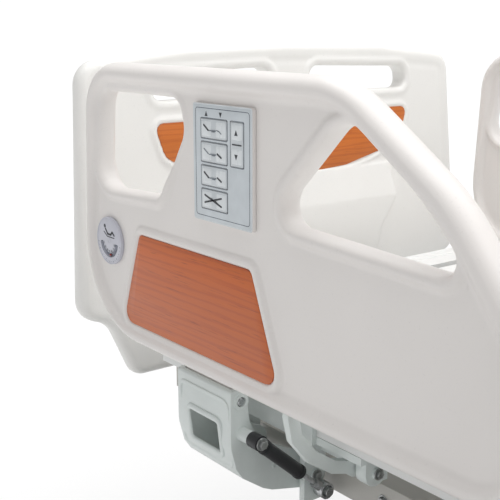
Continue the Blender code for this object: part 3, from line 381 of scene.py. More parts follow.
def lathe(centre, axis, profile, count=24):
    """Closed turned shape; profile is (radius, distance along axis) from end to end."""
    along, side, third = basis(axis)
    centre = np.array(centre, float)
    verts, faces, rings = [], [], []
    for radius, height in profile:
        if radius <= 1e-7:
            rings.append([len(verts)])
            verts.append(centre + along * height)
            continue
        rings.append(list(range(len(verts), len(verts) + count)))
        for i in range(count):
            turn = 2 * math.pi * i / count
            spoke = side * math.cos(turn) + third * math.sin(turn)
            verts.append(centre + along * height + spoke * radius)
    for low, high in zip(rings[:-1], rings[1:]):
        for i in range(count):
            j = (i + 1) % count
            if len(low) == 1 and len(high) == 1:
                continue
            if len(low) == 1:
                faces.append((low[0], high[j], high[i]))
            elif len(high) == 1:
                faces.append((low[i], low[j], high[0]))
            else:
                faces.append((low[i], low[j], high[j], high[i]))
    if len(rings[0]) > 1:
        faces.append(tuple(reversed(rings[0])))
    if len(rings[-1]) > 1:
        faces.append(tuple(rings[-1]))
    return verts, faces


def ring(centre, axis, inner, outer, height, count=28):
    """Raised flat ring, hollow in the middle, with chamfered edges."""
    along, side, third = basis(axis)
    centre = np.array(centre, float)
    edge = min(height, outer - inner) * 0.3
    profile = [(inner, 0), (inner, height - edge), (inner + edge, height),
               (outer - edge, height), (outer, height - edge), (outer, 0)]
    verts, faces = [], []
    size = len(profile)
    for i in range(count):
        turn = 2 * math.pi * i / count
        spoke = side * math.cos(turn) + third * math.sin(turn)
        for radius, level in profile:
            verts.append(centre + along * level + spoke * radius)
    for i in range(count):
        here, there = i * size, (i + 1) % count * size
        for k in range(size):
            m = (k + 1) % size
            faces.append((there + k, there + m, here + m, here + k))
    return verts, faces


def hex_head(parts, centre, axis, size, height, washer=True):
    """Hexagon bolt head with chamfer, standing on a washer where asked."""
    seat = 0.0
    if washer:
        rim = size * 1.42
        parts.add(lathe(centre, axis, [(0, -0.0006), (rim, -0.0006), (rim, 0.0008),
                                       (size * 1.36, 0.0013), (0, 0.0013)]))
        seat = 0.0013
    parts.add(lathe(centre, axis, [
        (0, seat - 0.0004), (size, seat - 0.0004), (size, seat + height * 0.8),
        (size * 0.86, seat + height), (size * 0.5, seat + height),
        (size * 0.44, seat + height * 0.86), (0, seat + height * 0.86)], 6))


def dome_head(parts, centre, axis, radius, height):
    """Button-head screw with a socket."""
    profile = [(0, -0.0006), (radius, -0.0006), (radius, height * 0.25)]
    for angle in map(math.radians, (20, 40, 58)):
        profile.append((radius * math.cos(angle), height * (0.25 + 0.75 * math.sin(angle))))
    profile += [(radius * 0.42, height * 0.97), (radius * 0.38, height * 0.30),
                (0, height * 0.30)]
    parts.add(lathe(centre, axis, profile, 18))


def sweep(path, section, up, closed=True):
    """Section (across the path in its plane, along up) carried along a planar path."""
    path = [np.array(point, float) for point in path]
    up = unit(np.array(up, float))
    count, size = len(path), len(section)
    verts, faces = [], []
    for i in range(count):
        if closed:
            tangent = path[(i + 1) % count] - path[i - 1]
            arriving = path[i] - path[i - 1]
        else:
            arriving = path[i] - path[i - 1] if i else path[1] - path[0]
            leaving = path[i + 1] - path[i] if i < count - 1 else arriving
            tangent = unit(arriving) + unit(leaving)
        tangent = unit(tangent)
        mitre = 1.0 / max(0.5, float(tangent @ unit(arriving)))
        side = unit(np.cross(up, tangent))
        for across, height in section:
            verts.append(path[i] + side * across * mitre + up * height)
    for i in range(count if closed else count - 1):
        here, there = i * size, (i + 1) % count * size
        for q in range(size):
            r = (q + 1) % size
            faces.append((here + q, there + q, there + r, here + r))
    if not closed:
        faces.append(tuple(range(size)))
        faces.append(tuple(reversed(range((count - 1) * size, count * size))))
    return verts, faces


def ridge(foot, crest, low, high):
    """Section of a small ridge: half widths at foot and crest, then their heights."""
    return [(-foot, low), (-crest, high), (crest, high), (foot, low)]


def ellipse_section(across, height, count):
    turns = [2 * math.pi * i / count for i in range(count)]
    return [(across * math.cos(turn), height * math.sin(turn)) for turn in turns]


def hose(path, radius, count=10):
    """Round cable on a Catmull-Rom curve through the points."""
    points = [np.array(point, float) for point in path]
    points = [2 * points[0] - points[1]] + points + [2 * points[-1] - points[-2]]
    fine = []
    for i in range(1, len(points) - 2):
        p0, p1, p2, p3 = points[i - 1:i + 3]
        for j in range(8):
            s = j / 8
            fine.append(0.5 * (2 * p1 + (p2 - p0) * s + (2 * p0 - 5 * p1 + 4 * p2 - p3) * s * s
                               + (3 * p1 - p0 - 3 * p2 + p3) * s ** 3))
    fine.append(points[-2])
    last = len(fine) - 1
    verts, faces = [], []
    side = basis(fine[1] - fine[0])[1]
    for i, point in enumerate(fine):
        tangent = unit(fine[min(i + 1, last)] - fine[max(i - 1, 0)])
        side = unit(side - tangent * float(side @ tangent))
        third = np.cross(tangent, side)
        for q in range(count):
            turn = 2 * math.pi * q / count
            verts.append(point + (side * math.cos(turn) + third * math.sin(turn)) * radius)
    for i in range(last):
        here, there = i * count, (i + 1) * count
        for q in range(count):
            r = (q + 1) % count
            faces.append((here + q, here + r, there + r, there + q))
    faces.append(tuple(reversed(range(count))))
    faces.append(tuple(range(last * count, (last + 1) * count)))
    return verts, faces


def prism(outline, y_back, y_front):
    """Outline in xz as a thin plate between two y values (front is the smaller y)."""
    count = len(outline)
    area = sum(outline[i][0] * outline[(i + 1) % count][1]
               - outline[(i + 1) % count][0] * outline[i][1] for i in range(count))
    if area < 0:
        outline = outline[::-1]
    verts = [(x, y, z) for y in (y_back, y_front) for x, z in outline]
    faces = [tuple(range(count, 2 * count)), tuple(reversed(range(count)))]
    for i in range(count):
        j = (i + 1) % count
        faces.append((i, j, count + j, count + i))
    return verts, faces


def bar(start, end, half):
    """Outline of a square-ended bar."""
    along = unit(end - start)
    across = np.array((-along[1], along[0])) * half
    return [start + across, end + across, end - across, start - across]


def capsule(start, end, half):
    """Outline of a round-ended bar."""
    along = unit(end - start)
    across = np.array((-along[1], along[0]))
    outline = []
    for centre, sign in ((start, 1), (end, -1)):
        for i in range(7):
            turn = math.pi / 2 + math.pi * i / 6
            spoke = along * math.cos(turn) + across * math.sin(turn)
            outline.append(centre + sign * spoke * half)
    return outline


def fillet(corners, steps=9):
    """Rounded outline through (a, b, radius) corners."""
    out, count = [], len(corners)
    for i in range(count):
        corner = np.array(corners[i][:2], float)
        before = np.array(corners[i - 1][:2], float) - corner
        after = np.array(corners[(i + 1) % count][:2], float) - corner
        radius = corners[i][2]
        if radius <= 0:
            out.append(corner)
            continue
        reach = 0.48 * min(np.linalg.norm(before), np.linalg.norm(after))
        before, after = unit(before), unit(after)
        angle = math.acos(max(-1, min(1, float(before @ after))))
        if math.pi - angle < 1e-3:
            out.append(corner)
            continue
        setback = min(radius / math.tan(angle / 2), reach)
        radius = setback * math.tan(angle / 2)
        centre = corner + unit(before + after) * (radius / math.sin(angle / 2))
        start = corner + before * setback - centre
        end = corner + after * setback - centre
        first = math.atan2(start[1], start[0])
        turn = (math.atan2(end[1], end[0]) - first + math.pi) % (2 * math.pi) - math.pi
        for k in range(steps + 1):
            now = first + turn * k / steps
            out.append(centre + radius * np.array((math.cos(now), math.sin(now))))
    return np.array(out)


def rounded_box(a0, a1, b0, b1, radius, steps):
    return fillet([(a0, b0, radius), (a1, b0, radius), (a1, b1, radius), (a0, b1, radius)],
                  steps)


def rounded_cap(axis, centre, half, levels, shrink, flip=False, radius=0.004, steps=4):
    """Cap across an axis: a rounded box at two levels and a shrunken one at the third."""
    outline = rounded_box(centre[0] - half[0], centre[0] + half[0],
                          centre[1] - half[1], centre[1] + half[1], radius, steps)
    count = len(outline)
    small = np.array(centre) + (outline - centre) * shrink
    verts = []
    for level, points in zip(levels, (outline, outline, small)):
        verts += [np.insert(point, axis, level) for point in points]
    faces = []
    for base in (0, count):
        for i in range(count):
            j = (i + 1) % count
            faces.append((base + i, base + j, base + count + j, base + count + i))
    faces += [tuple(reversed(range(count))), tuple(range(2 * count, 3 * count))]
    if flip:
        faces = [face[::-1] for face in faces]
    return verts, faces


# ================================================================ distance fields
def outline_distance(a, b, outline):
    """Signed distance to a closed outline, negative inside; a and b broadcast."""
    a, b = np.broadcast_arrays(a, b)
    shape = a.shape
    a, b = a.ravel(), b.ravel()
    nearest = np.full(a.shape, 1e9)
    inside = np.zeros(a.shape, bool)
    for i in range(len(outline)):
        a0, b0 = outline[i]
        a1, b1 = outline[(i + 1) % len(outline)]
        edge_a, edge_b = a1 - a0, b1 - b0
        square = edge_a * edge_a + edge_b * edge_b
        if square < 1e-16:
            continue
        off_a, off_b = a - a0, b - b0
        along = np.clip((off_a * edge_a + off_b * edge_b) / square, 0, 1)
        gap_a, gap_b = off_a - along * edge_a, off_b - along * edge_b
        np.minimum(nearest, gap_a * gap_a + gap_b * gap_b, out=nearest)
        if abs(edge_b) > 1e-14:
            spans = (b0 > b) != (b1 > b)
            inside ^= spans & (a < a0 + (b - b0) * edge_a / edge_b)
    distance = np.sqrt(nearest)
    return np.where(inside, -distance, distance).reshape(shape)


def join(first, second, blend):
    """Smooth union."""
    share = np.clip(0.5 + 0.5 * (second - first) / blend, 0, 1)
    return second * (1 - share) + first * share - blend * share * (1 - share)


def cut(solid, tool, blend):
    """Smooth removal of the tool from the solid."""
    return -join(-solid, tool, blend)


def ease(value, start, end):
    value = np.clip((value - start) / (end - start), 0, 1)
    return value * value * (3 - 2 * value)


def ellipse_distance(a, b, half_a, half_b):
    """First-order distance to an ellipse."""
    level = np.sqrt((a / half_a) ** 2 + (b / half_b) ** 2)
    slope = np.sqrt((a / half_a ** 2) ** 2 + (b / half_b ** 2) ** 2)
    return level * (level - 1) / np.maximum(slope, 1e-6)


def slab_distance(first, second):
    """Rounded meeting of two distances measured at right angles."""
    return (np.sqrt(np.maximum(first, 0) ** 2 + np.maximum(second, 0) ** 2)
            + np.minimum(np.maximum(first, second), 0))


def box_distance(x, y, z, centre, half, radius):
    dx, dy, dz = (np.abs(value - middle) - size + radius
                  for value, middle, size in zip((x, y, z), centre, half))
    outside = np.sqrt(np.maximum(dx, 0) ** 2 + np.maximum(dy, 0) ** 2 + np.maximum(dz, 0) ** 2)
    return outside + np.minimum(np.maximum(dx, np.maximum(dy, dz)), 0) - radius


def rod_distance(x, y, z, centre, x0, x1, radius):
    """Distance to a cylinder along x about centre (y, z)."""
    round_ = np.sqrt((y - centre[0]) ** 2 + (z - centre[1]) ** 2) - radius
    return slab_distance(round_, np.abs(x - (x0 + x1) / 2) - (x1 - x0) / 2)


def surface_nets(field, low, high, step):
    """Surface nets of a distance field, its vertices then moved onto the surface."""
    count = [int(math.ceil((high[i] - low[i]) / step)) + 1 for i in range(3)]
    ticks = [low[i] + np.arange(count[i]) * step for i in range(3)]
    values = np.broadcast_to(field(ticks[0][:, None, None], ticks[1][None, :, None],
                                   ticks[2][None, None, :]), count)
    solid = values < 0
    cells = [n - 1 for n in count]
    total = np.zeros(cells + [3])
    hits = np.zeros(cells, int)
    for axis in range(3):
        others = [other for other in range(3) if other != axis]
        for shift in ((0, 0), (0, 1), (1, 0), (1, 1)):
            near, far = [None] * 3, [None] * 3
            near[axis], far[axis] = slice(0, cells[axis]), slice(1, count[axis])
            for other, offset in zip(others, shift):
                near[other] = far[other] = slice(offset, offset + cells[other])
            start, end = values[tuple(near)], values[tuple(far)]
            crossed = (start < 0) != (end < 0)
            place = start[crossed] / (start[crossed] - end[crossed])
            point = np.zeros((len(place), 3))
            point[:, axis] = place
            point[:, others] = shift
            total[crossed] += point
            hits[crossed] += 1
    mixed = hits > 0
    index = np.full(cells, -1)
    index[mixed] = np.arange(mixed.sum())
    verts = (np.argwhere(mixed) + total[mixed] / hits[mixed][:, None]) * step + np.array(low)
    faces = []
    for axis in range(3):
        a, b = [(1, 2), (2, 0), (0, 1)][axis]
        near, far = [slice(None)] * 3, [slice(None)] * 3
        near[axis], far[axis] = slice(0, cells[axis]), slice(1, count[axis])
        edges = np.argwhere(solid[tuple(near)] != solid[tuple(far)])
        edges = edges[(edges[:, a] > 0) & (edges[:, b] > 0)
                      & (edges[:, a] < cells[a]) & (edges[:, b] < cells[b])]
        back_a, back_b = np.zeros(3, int), np.zeros(3, int)
        back_a[a], back_b[b] = 1, 1
        corners = (edges - back_a - back_b, edges - back_b, edges, edges - back_a)
        quads = np.stack([index[tuple(corner.T)] for corner in corners], 1)
        outward = solid[tuple(edges.T)]
        faces.append(quads[outward])
        faces.append(quads[~outward][:, ::-1])
    probe = 0.15 * step
    for _ in range(2):
        x, y, z = verts.T
        value = field(x, y, z)
        slope = np.stack([field(x + probe, y, z) - field(x - probe, y, z),
                          field(x, y + probe, z) - field(x, y - probe, z),
                          field(x, y, z + probe) - field(x, y, z - probe)], 1) / (2 * probe)
        move = value / np.maximum((slope ** 2).sum(1), 0.15)
        verts = verts - slope * np.clip(move, -0.8 * step, 0.8 * step)[:, None]
    return verts, np.concatenate(faces).tolist()


# ================================================================ side rails
# Corners are (x from start, z above RAIL_Z, corner radius).
HEAD_RAIL = dict(
    start=-0.949,
    outline=[(-0.002, 0.434, 0.085), (0.595, 0.433, 0.15), (0.764, 0.321, 0.25),
             (0.876, 0.190, 0.14), (0.905, 0.0, 0.12), (-0.020, 0.0, 0.150)],
    pocket=[(0.034, 0.402, 0.050), (0.586, 0.400, 0.12), (0.744, 0.292, 0.20),
            (0.838, 0.170, 0.10), (0.865, 0.026, 0.09), (-0.002, 0.026, 0.12)],
    holes=[[(0.046, 0.389, 0.022), (0.258, 0.389, 0.03), (0.270, 0.345, 0.03),
            (0.206, 0.2455, 0.02), (0.024, 0.237, 0.04)],
           [(0.4577, 0.250, 0.025), (0.600, 0.392, 0.045), (0.698, 0.3265, 0.15),
            (0.768, 0.260, 0.02), (0.757, 0.2365, 0.02)]],
    insert=[(0.149, 0.178, 0.008), (0.4265, 0.178, 0.010), (0.484, 0.031, 0.018),
            (0.0955, 0.031, 0.018)])
FOOT_RAIL = dict(
    start=-0.865,
    outline=[(0.000, 0.0, 0.10), (0.012, 0.150, 0.10), (0.105, 0.300, 0.20),
             (0.270, 0.405, 0.15), (0.648, 0.405, 0.075), (0.660, 0.0, 0.09)],
    pocket=[(0.038, 0.026, 0.08), (0.046, 0.145, 0.08), (0.130, 0.270, 0.16),
            (0.280, 0.370, 0.13), (0.620, 0.370, 0.045), (0.630, 0.026, 0.08)],
    holes=[[(0.160, 0.235, 0.025), (0.290, 0.352, 0.06), (0.590, 0.352, 0.035),
            (0.595, 0.235, 0.03)]],
    insert=[(0.190, 0.031, 0.018), (0.235, 0.178, 0.010), (0.505, 0.178, 0.008),
            (0.555, 0.031, 0.018)])


def rail_field(rail):
    """Distance field of a rail shell, with its low and high grid corners."""
    def placed(corners):
        return fillet([(a + rail["start"], b + RAIL_Z, radius) for a, b, radius in corners])

    outline, pocket, insert = (placed(rail[part]) for part in ("outline", "pocket", "insert"))
    holes = [placed(hole) for hole in rail["holes"]]

    def arm_lug(x, y, z):
        """Block and barrel that carry the outer pivot pin."""
        x0, x1 = ARM_X[0] + 0.0095, ARM_X[1] - 0.0095
        block = box_distance(
            x, y, z, centre=((ARM_X[0] + ARM_X[1]) / 2, OUTER_TOP[0], (OUTER_TOP[1] + 0.500) / 2),
            half=((x1 - x0) / 2, 0.0098, (0.500 - OUTER_TOP[1]) / 2), radius=0.0015)
        return join(block, rod_distance(x, y, z, OUTER_TOP, x0, x1, 0.0100), 0.002)

    def field(x, y, z):
        depth = y - RAIL_Y
        inward = -outline_distance(x, z, outline)
        width = np.clip(inward + outline_distance(x, z, pocket), 0.014, 0.060) * 1.02
        roll = ellipse_distance(inward - width / 2, depth, width / 2, 0.025)
        slab = np.maximum(np.abs(depth) - 0.013, width * 0.5 - inward)
        lips = None
        gaps = [outline_distance(x, z, hole) for hole in holes]
        for i, gap in enumerate(gaps):
            thick, half = 0.0195, 0.0100
            if rail is HEAD_RAIL and i == 0:      # bold lip along the bottom only
                low = 1 - ease(z - RAIL_Z, 0.262, 0.300)
                thick, half = 0.0145 + 0.0050 * low, 0.0085 + 0.0015 * low
            slab = np.maximum(slab, half - gap)
            lip = ellipse_distance(gap - half, depth, half + 0.0004, thick)
            lips = lip if lips is None else np.minimum(lips, lip)
        shell = join(roll, slab, 0.007)
        shell = join(shell, lips, 0.0045)
        insert_frame = ellipse_distance(outline_distance(x, z, insert) - 0.0068,
                                        depth + 0.0125, 0.0066, 0.0062)
        shell = join(shell, insert_frame, 0.0020)
        for gap in gaps:
            shell = cut(shell, gap, 0.003)
        shell = join(shell, arm_lug(x, y, z), 0.004)
        inner_slot = box_distance(x, y, z, centre=(sum(INNER_X) / 2, -0.4646, 0.5035),
                                  half=(0.0082, 0.0245, 0.0335), radius=0.001)
        return np.maximum(shell, -inner_slot)

    low = (outline[:, 0].min() - 0.008, RAIL_Y - 0.031, 0.436)
    high = (outline[:, 0].max() + 0.008, RAIL_Y + 0.031, outline[:, 1].max() + 0.008)
    return field, low, high


def rail_pins(tag, mirror):
    """Pivot pins carried by the shell, each standing out past both faces of its arm."""
    length = ARM_X[1] - ARM_X[0] + 2 * 0.001
    parts = Parts()
    parts.add(lathe((ARM_X[0] - 0.001, *OUTER_TOP), (1, 0, 0), [
        (0, 0), (0.0052, 0), (0.0060, 0.0008), (0.0060, length - 0.0008), (0.0052, length),
        (0, length)], 20))
    length = INNER_X[1] - INNER_X[0] + 2 * 0.006
    parts.add(lathe((INNER_X[0] - 0.006, *INNER_TOP), (1, 0, 0),
                    [(0, 0), (0.0055, 0), (0.0055, length), (0, length)], 18))
    parts.build("rail_pins_" + tag, STEEL_X, "side_rail_" + tag, "bright_steel", mirror=mirror)


def build_rails():
    for rail, (end, mirror_x) in zip((HEAD_RAIL, FOOT_RAIL), ENDS):
        verts, faces = surface_nets(*rail_field(rail), RAIL_STEP)
        for side, mirror_y in SIDES:
            tag = end + "_" + side
            mirror = (mirror_x, mirror_y)
            shell = mesh_object("shell_" + tag, verts, faces, WHITE, "side_rail_" + tag,
                                "white_moulding", mirror=mirror)
            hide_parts("rail_" + tag)
            rail_pins(tag, mirror)


# ================================================================ end boards
def flipped(corners):
    return [(-y, z, radius) for y, z, radius in reversed(corners)]


def board_field(drop):
    """Distance field of an end board whose top is lowered by drop, with its grid corners."""
    # right-hand corners, as (y, z, corner radius)
    edge = [(0.461, 0.910 - drop, 0.045), (0.489, 0.468, 0.040), (0.430, 0.446, 0.05),
            (0.385, 0.3397, 0.030)]
    outline = fillet(edge + flipped(edge) + [
        (-0.24, 0.933 - drop, 0.4), (0.0, 0.937 - drop, 0.4), (0.24, 0.933 - drop, 0.4)])
    slots = [fillet([(s * 0.050, 0.841 - drop, 0.022), (s * 0.322, 0.838 - drop, 0.020),
                     (s * 0.318, 0.884 - drop, 0.020), (s * 0.050, 0.892 - drop, 0.022)])
             for s in BOTH]
    panel = [(-0.322, 0.798 - drop, 0.014), (-0.301, 0.734 - drop, 0.03),
             (-0.19, 0.6885 - drop, 0.3)]
    insert = fillet(panel + [(0.0, 0.6766 - drop, 0)] + flipped(panel))
    # raised middle below the wood: its edge runs in towards the stem
    raised = [(0.2827, 0.684 - drop, 0.01), (0.2738, 0.652 - drop, 0.03),
              (0.2843, 0.609 - drop, 0.004), (0.2819, 0.603 - drop, 0.004),
              (0.2665, 0.578 - drop, 0.05), (0.2454, 0.552 - drop, 0.05),
              (0.2309, 0.495 - drop * 0.5, 0.02), (0.225, 0.440, 0.02)]
    middle = fillet(raised + flipped(raised))
    crease = 0.610 - drop

    def field(x, y, z):
        """x across the thickness from the mid-plane, +x towards the mattress."""
        rim = outline_distance(y, z, outline)
        upper = np.clip((0.692 - drop - z) / (0.692 - drop - crease), 0, 1)
        lower = np.clip((z - 0.455) / (crease - 0.455), 0, 1)
        rise = (0.0135 * np.where(z > crease, 0.25 + 0.75 * upper, lower ** 0.8)
                * ease(-outline_distance(y, z, middle), -0.0005, 0.0045)
                * np.where(z > 0.700 - drop, 0.0, 1.0))
        face = np.where(x > 0, x - rise, x)
        edge_radius = 0.0175
        shell = slab_distance(rim + edge_radius,
                              np.abs(face) - BOARD_THICK / 2 + edge_radius) - edge_radius
        # shallow channel inside the rim of the face, so the edge reads as a roll
        shell = shell + (0.0016 * np.exp(-((rim + 0.034) / 0.007) ** 2)
                         * ease(np.abs(x), 0.012, 0.017) * ease(z, 0.50, 0.56))
        for slot in slots:
            gap = outline_distance(y, z, slot)
            shell = join(shell, ellipse_distance(gap - 0.0105, x, 0.0108, 0.0228), 0.004)
            shell = cut(shell, gap, 0.006)
        bead = ellipse_distance(outline_distance(y, z, insert) - 0.0062, x - BOARD_THICK / 2,
                                0.0058, 0.0042)
        return join(shell, bead, 0.0015)

    low = (-0.030, outline[:, 0].min() - 0.009, 0.330)
    high = (0.042, outline[:, 0].max() + 0.009, outline[:, 1].max() + 0.010)
    return field, low, high


def build_board(name, body, drop, gap, mirror_x):
    verts, faces = surface_nets(*board_field(drop), BOARD_STEP)
    place = np.array(Matrix.Translation((-HALF_BED - gap - BOARD_THICK / 2, 0, LEAN_Z))
                     @ Matrix.Rotation(-BOARD_LEAN, 4, "Y")
                     @ Matrix.Translation((0, 0, -LEAN_Z)))
    verts = verts @ place[:3, :3].T + place[:3, 3]
    shell = mesh_object(name + "_shell", verts, faces, BOARD_WHITE, body, "white_moulding",
                        mirror=(mirror_x, False))
    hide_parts(name)


build_rails()
build_board("head_board", "headboard", drop=0.0, gap=0.0, mirror_x=False)
build_board("foot_board", "footboard", drop=0.085, gap=0.00467, mirror_x=True)


# ================================================================ carried-over CAD nodes
def smooth_by_angle(limit):
    """Geometry nodes: smooth faces, with edges sharper than the limit kept hard."""
    group = bpy.data.node_groups.new("soft_shade", "GeometryNodeTree")
    for way in ("INPUT", "OUTPUT"):
        group.interface.new_socket("Geometry", in_out=way, socket_type="NodeSocketGeometry")
    start, end = group.nodes.new("NodeGroupInput"), group.nodes.new("NodeGroupOutput")
    smooth = group.nodes.new("GeometryNodeSetShadeSmooth")
    smooth.domain = "FACE"
    sharp = group.nodes.new("GeometryNodeSetShadeSmooth")
    sharp.domain = "EDGE"
    sharp.inputs["Shade Smooth"].default_value = False
    angle = group.nodes.new("GeometryNodeInputMeshEdgeAngle")
    compare = group.nodes.new("FunctionNodeCompare")
    compare.data_type = "FLOAT"
    compare.operation = "GREATER_THAN"
    compare.inputs[1].default_value = limit
    group.links.new(start.outputs[0], smooth.inputs["Geometry"])
    group.links.new(smooth.outputs[0], sharp.inputs["Geometry"])
    group.links.new(angle.outputs["Unsigned Angle"], compare.inputs[0])
    group.links.new(compare.outputs[0], sharp.inputs["Selection"])
    group.links.new(sharp.outputs[0], end.inputs[0])
    return group


SOFT_SHADE = smooth_by_angle(math.radians(33))
# name patterns, material, bevel width, bevel segments; the first match counts
FINISHES = [
    (("rail_head_near", "rail_head_far", "rail_foot_near", "rail_foot_far", "head_board",
      "foot_board"), WHITE, 0, 2),
    (("rail_insert*",), WOOD_RAIL, 0.0008, 2),
    (("*board_panel",), WOOD_BOARD, 0.0008, 2),
    (("rail_arm*", "rail_inner*", "rail_bracket*"), CAST, 0.0018, 3),
    (("scissor*",), CAST, 0.0012, 2),
    (("base_frame", "lift_frame", "upper_frame"), FRAME_PAINT, 0.0020, 3),
    (("*_deck",), DECK, 0.0016, 2),
    (("*actuator_body", "control_box", "rail_damper_cylinder"), BLACK, 0.0016, 3),
    (("*actuator_rod",), STEEL_X, 0.0007, 2),
    (("rail_damper_rod",), STEEL_Z, 0.0004, 2),
    (("brake_pedal_bar",), STEEL_Y, 0.0008, 2),
    (("castor_fork*",), STEEL_Z, 0.0010, 2),
    (("castor_wheel*",), RUBBER, 0.0012, 3),
    (("control_panel",), FILM, 0.0004, 2),
    (("key_*",), KEY, 0.0003, 2),
    (("angle_dial",), DIAL, 0.0003, 2),
    (("dial_ball",), RED, 0, 2),
    (("*",), FRAME_PAINT, 0.001, 2),
]


def matches(name, pattern):
    """A star at one end of the pattern stands for any text."""
    if pattern.startswith("*"):
        return name.endswith(pattern[1:])
    if pattern.endswith("*"):
        return name.startswith(pattern[:-1])
    return name == pattern


def finish_node(item, material, width, segments):
    item.data.materials.clear()
    item.data.materials.append(material)
    weld = item.modifiers.new("weld", "WELD")
    weld.merge_threshold = 0.00002
    if width:
        bevel = item.modifiers.new("edge", "BEVEL")
        bevel.width = width
        bevel.segments = segments
        bevel.limit_method = "ANGLE"
        bevel.angle_limit = math.radians(34)
        bevel.use_clamp_overlap = True
        bevel.harden_normals = False
    shade = item.modifiers.new("shade", "NODES")
    shade.node_group = SOFT_SHADE


for node_name in NODES:
    for patterns, *look in FINISHES:
        if any(matches(node_name, pattern) for pattern in patterns):
            finish_node(NODES[node_name], *look)
            break

# ================================================================ control panel artwork
# Places on the panel are fractions: u from its left edge, v down from its top edge.
PANEL_X, PANEL_Z = (-0.6452, -0.5136), (0.7122, 0.8710)
FACE_Y, KEY_Y = -0.5023, -0.5029               # faces of the film and of the keys
PANEL_BODY = "side_rail_head_near"
OUTWARD = (0, -1, 0)
KEY_U = (0.145, 0.590)
HEIGHT_KEY = (0.650, 0.860, 0.125, 0.490)      # u0, u1, v0, v1

# icon strokes: u, v from the key's middle, u, v from the key's middle, width
BACK_STROKE = (0.208, -0.028, 0.282, 0.012, 0.0024)
LEGS_STROKE = (0.438, 0.002, 0.502, 0.028, 0.0024)
TILT_STROKES = [(0.215, -0.034, 0.500, 0.040, 0.0024), (0.215, 0.030, 0.500, -0.030, 0.0024)]
BED_STROKES = [(0.300, 0.014, 0.405, 0.012, 0.0014), (0.345, 0.022, 0.385, 0.022, 0.0010)]
FLAT_LEGS = [(0.430, 0.006, 0.470, 0.012, 0.0012), (0.470, 0.012, 0.505, 0.030, 0.0012)]
FLAT_BACK = [(0.208, -0.028, 0.282, 0.010, 0.0016)]
# key: v0, v1, dark strokes, grey strokes
KEY_ROWS = {
    "key_back": (0.125, 0.290, [BACK_STROKE], BED_STROKES + FLAT_LEGS),
    "key_legs": (0.322, 0.490, [LEGS_STROKE], BED_STROKES + FLAT_BACK),
    "key_back_and_legs": (0.522, 0.690, [BACK_STROKE, LEGS_STROKE], BED_STROKES),
    "key_tilt": (0.722, 0.890, TILT_STROKES, []),
}


def panel_xz(u, v):
    return np.array((PANEL_X[0] + u * (PANEL_X[1] - PANEL_X[0]),
                     PANEL_Z[1] - v * (PANEL_Z[1] - PANEL_Z[0])))


def standing(points, y):
    return [(x, y, z) for x, z in points]


def panel_loop(u0, u1, v0, v1, radius, y):
    """Rounded rectangle on the panel; the radius is in metres."""
    x0, z1 = panel_xz(u0, v0)
    x1, z0 = panel_xz(u1, v1)
    return standing(rounded_box(x0, x1, z0, z1, radius, 5), y)


def arrow(u, v, sign, half_width, half_height):
    """Triangle pointing up (sign 1) or down (-1)."""
    x, z = panel_xz(u, v)
    return [(x + dx * half_width, z + sign * dz * half_height)
            for dx, dz in ((-1, -1), (1, -1), (0, 1))]


def stroke(u0, v0, u1, v1, width, y=KEY_Y - 0.0010):
    outline = capsule(panel_xz(u0, v0), panel_xz(u1, v1), width / 2)
    return prism(outline, y + 0.0009, y - 0.00018)


def panel_print():
    line = [(-0.00045, 0.0), (-0.00030, 0.00022), (0.00030, 0.00022), (0.00045, 0.0),
            (0.0004, -0.0002), (-0.0004, -0.0002)]
    parts = Parts()
    parts.add(sweep(panel_loop(0.045, 0.955, 0.040, 0.955, 0.0045, FACE_Y), line, OUTWARD))
    for u0, u1, v0, v1 in [(*KEY_U, *row[:2]) for row in KEY_ROWS.values()] + [HEIGHT_KEY]:
        loop = panel_loop(u0 - 0.006, u1 + 0.006, v0 - 0.005, v1 + 0.005, 0.0022, FACE_Y)
        parts.add(sweep(loop, line, OUTWARD))
    parts.build("panel_lines", INK_LINE, PANEL_BODY, "panel_film")

    parts = Parts()
    for u, sign in ((0.235, 1), (0.480, -1)):
        parts.add(prism(arrow(u, 0.085, sign, 0.0031, 0.0033), FACE_Y + 0.0002,
                        FACE_Y - 0.00022))
    parts.build("panel_arrows", INK, PANEL_BODY, "panel_film", smooth=20)

    parts = Parts()
    parts.add(sweep(panel_loop(0.010, 0.990, 0.008, 0.992, 0.0035, FACE_Y + 0.0002),
                    ridge(0.0006, 0.0004, 0, 0.0004), OUTWARD))
    parts.build("panel_edge_bead", PAD, PANEL_BODY, "panel_film")


def pillow(u0, u1, v0, v1, steps=12):
    """Raised finger pad with a skirt and a flat back."""
    x0, z1 = panel_xz(u0, v0)
    x1, z0 = panel_xz(u1, v1)
    row = steps + 1
    verts, faces = [], []
    for i in range(row):
        for j in range(row):
            s, t = i / steps, j / steps
            rise = 0.0009
            for edge in (min(s, 1 - s), min(t, 1 - t)):
                rise *= 1 - math.exp(-edge / 0.07)
            verts.append((x0 + (x1 - x0) * s, KEY_Y + 0.0001 - rise, z0 + (z1 - z0) * t))
    for i in range(steps):
        for j in range(steps):
            k = i * row + j
            faces.append((k, k + row, k + row + 1, k + 1))
    rim = ([i * row for i in range(row)] + [steps * row + j for j in range(1, row)]
           + [i * row + steps for i in range(steps - 1, -1, -1)] + list(range(steps - 1, 0, -1)))
    back = len(verts)
    verts += [(verts[q][0], KEY_Y + 0.0004, verts[q][2]) for q in rim]
    for q in range(len(rim)):
        r = (q + 1) % len(rim)
        faces.append((rim[r], rim[q], back + q, back + r))
    faces.append(tuple(range(back, back + len(rim))))
    return verts, faces


def key_pads(key, places):
    parts = Parts()
    for place in places:
        parts.add(pillow(*place))
    parts.build(key + "_pads", PAD, key, "key_film", smooth=50)


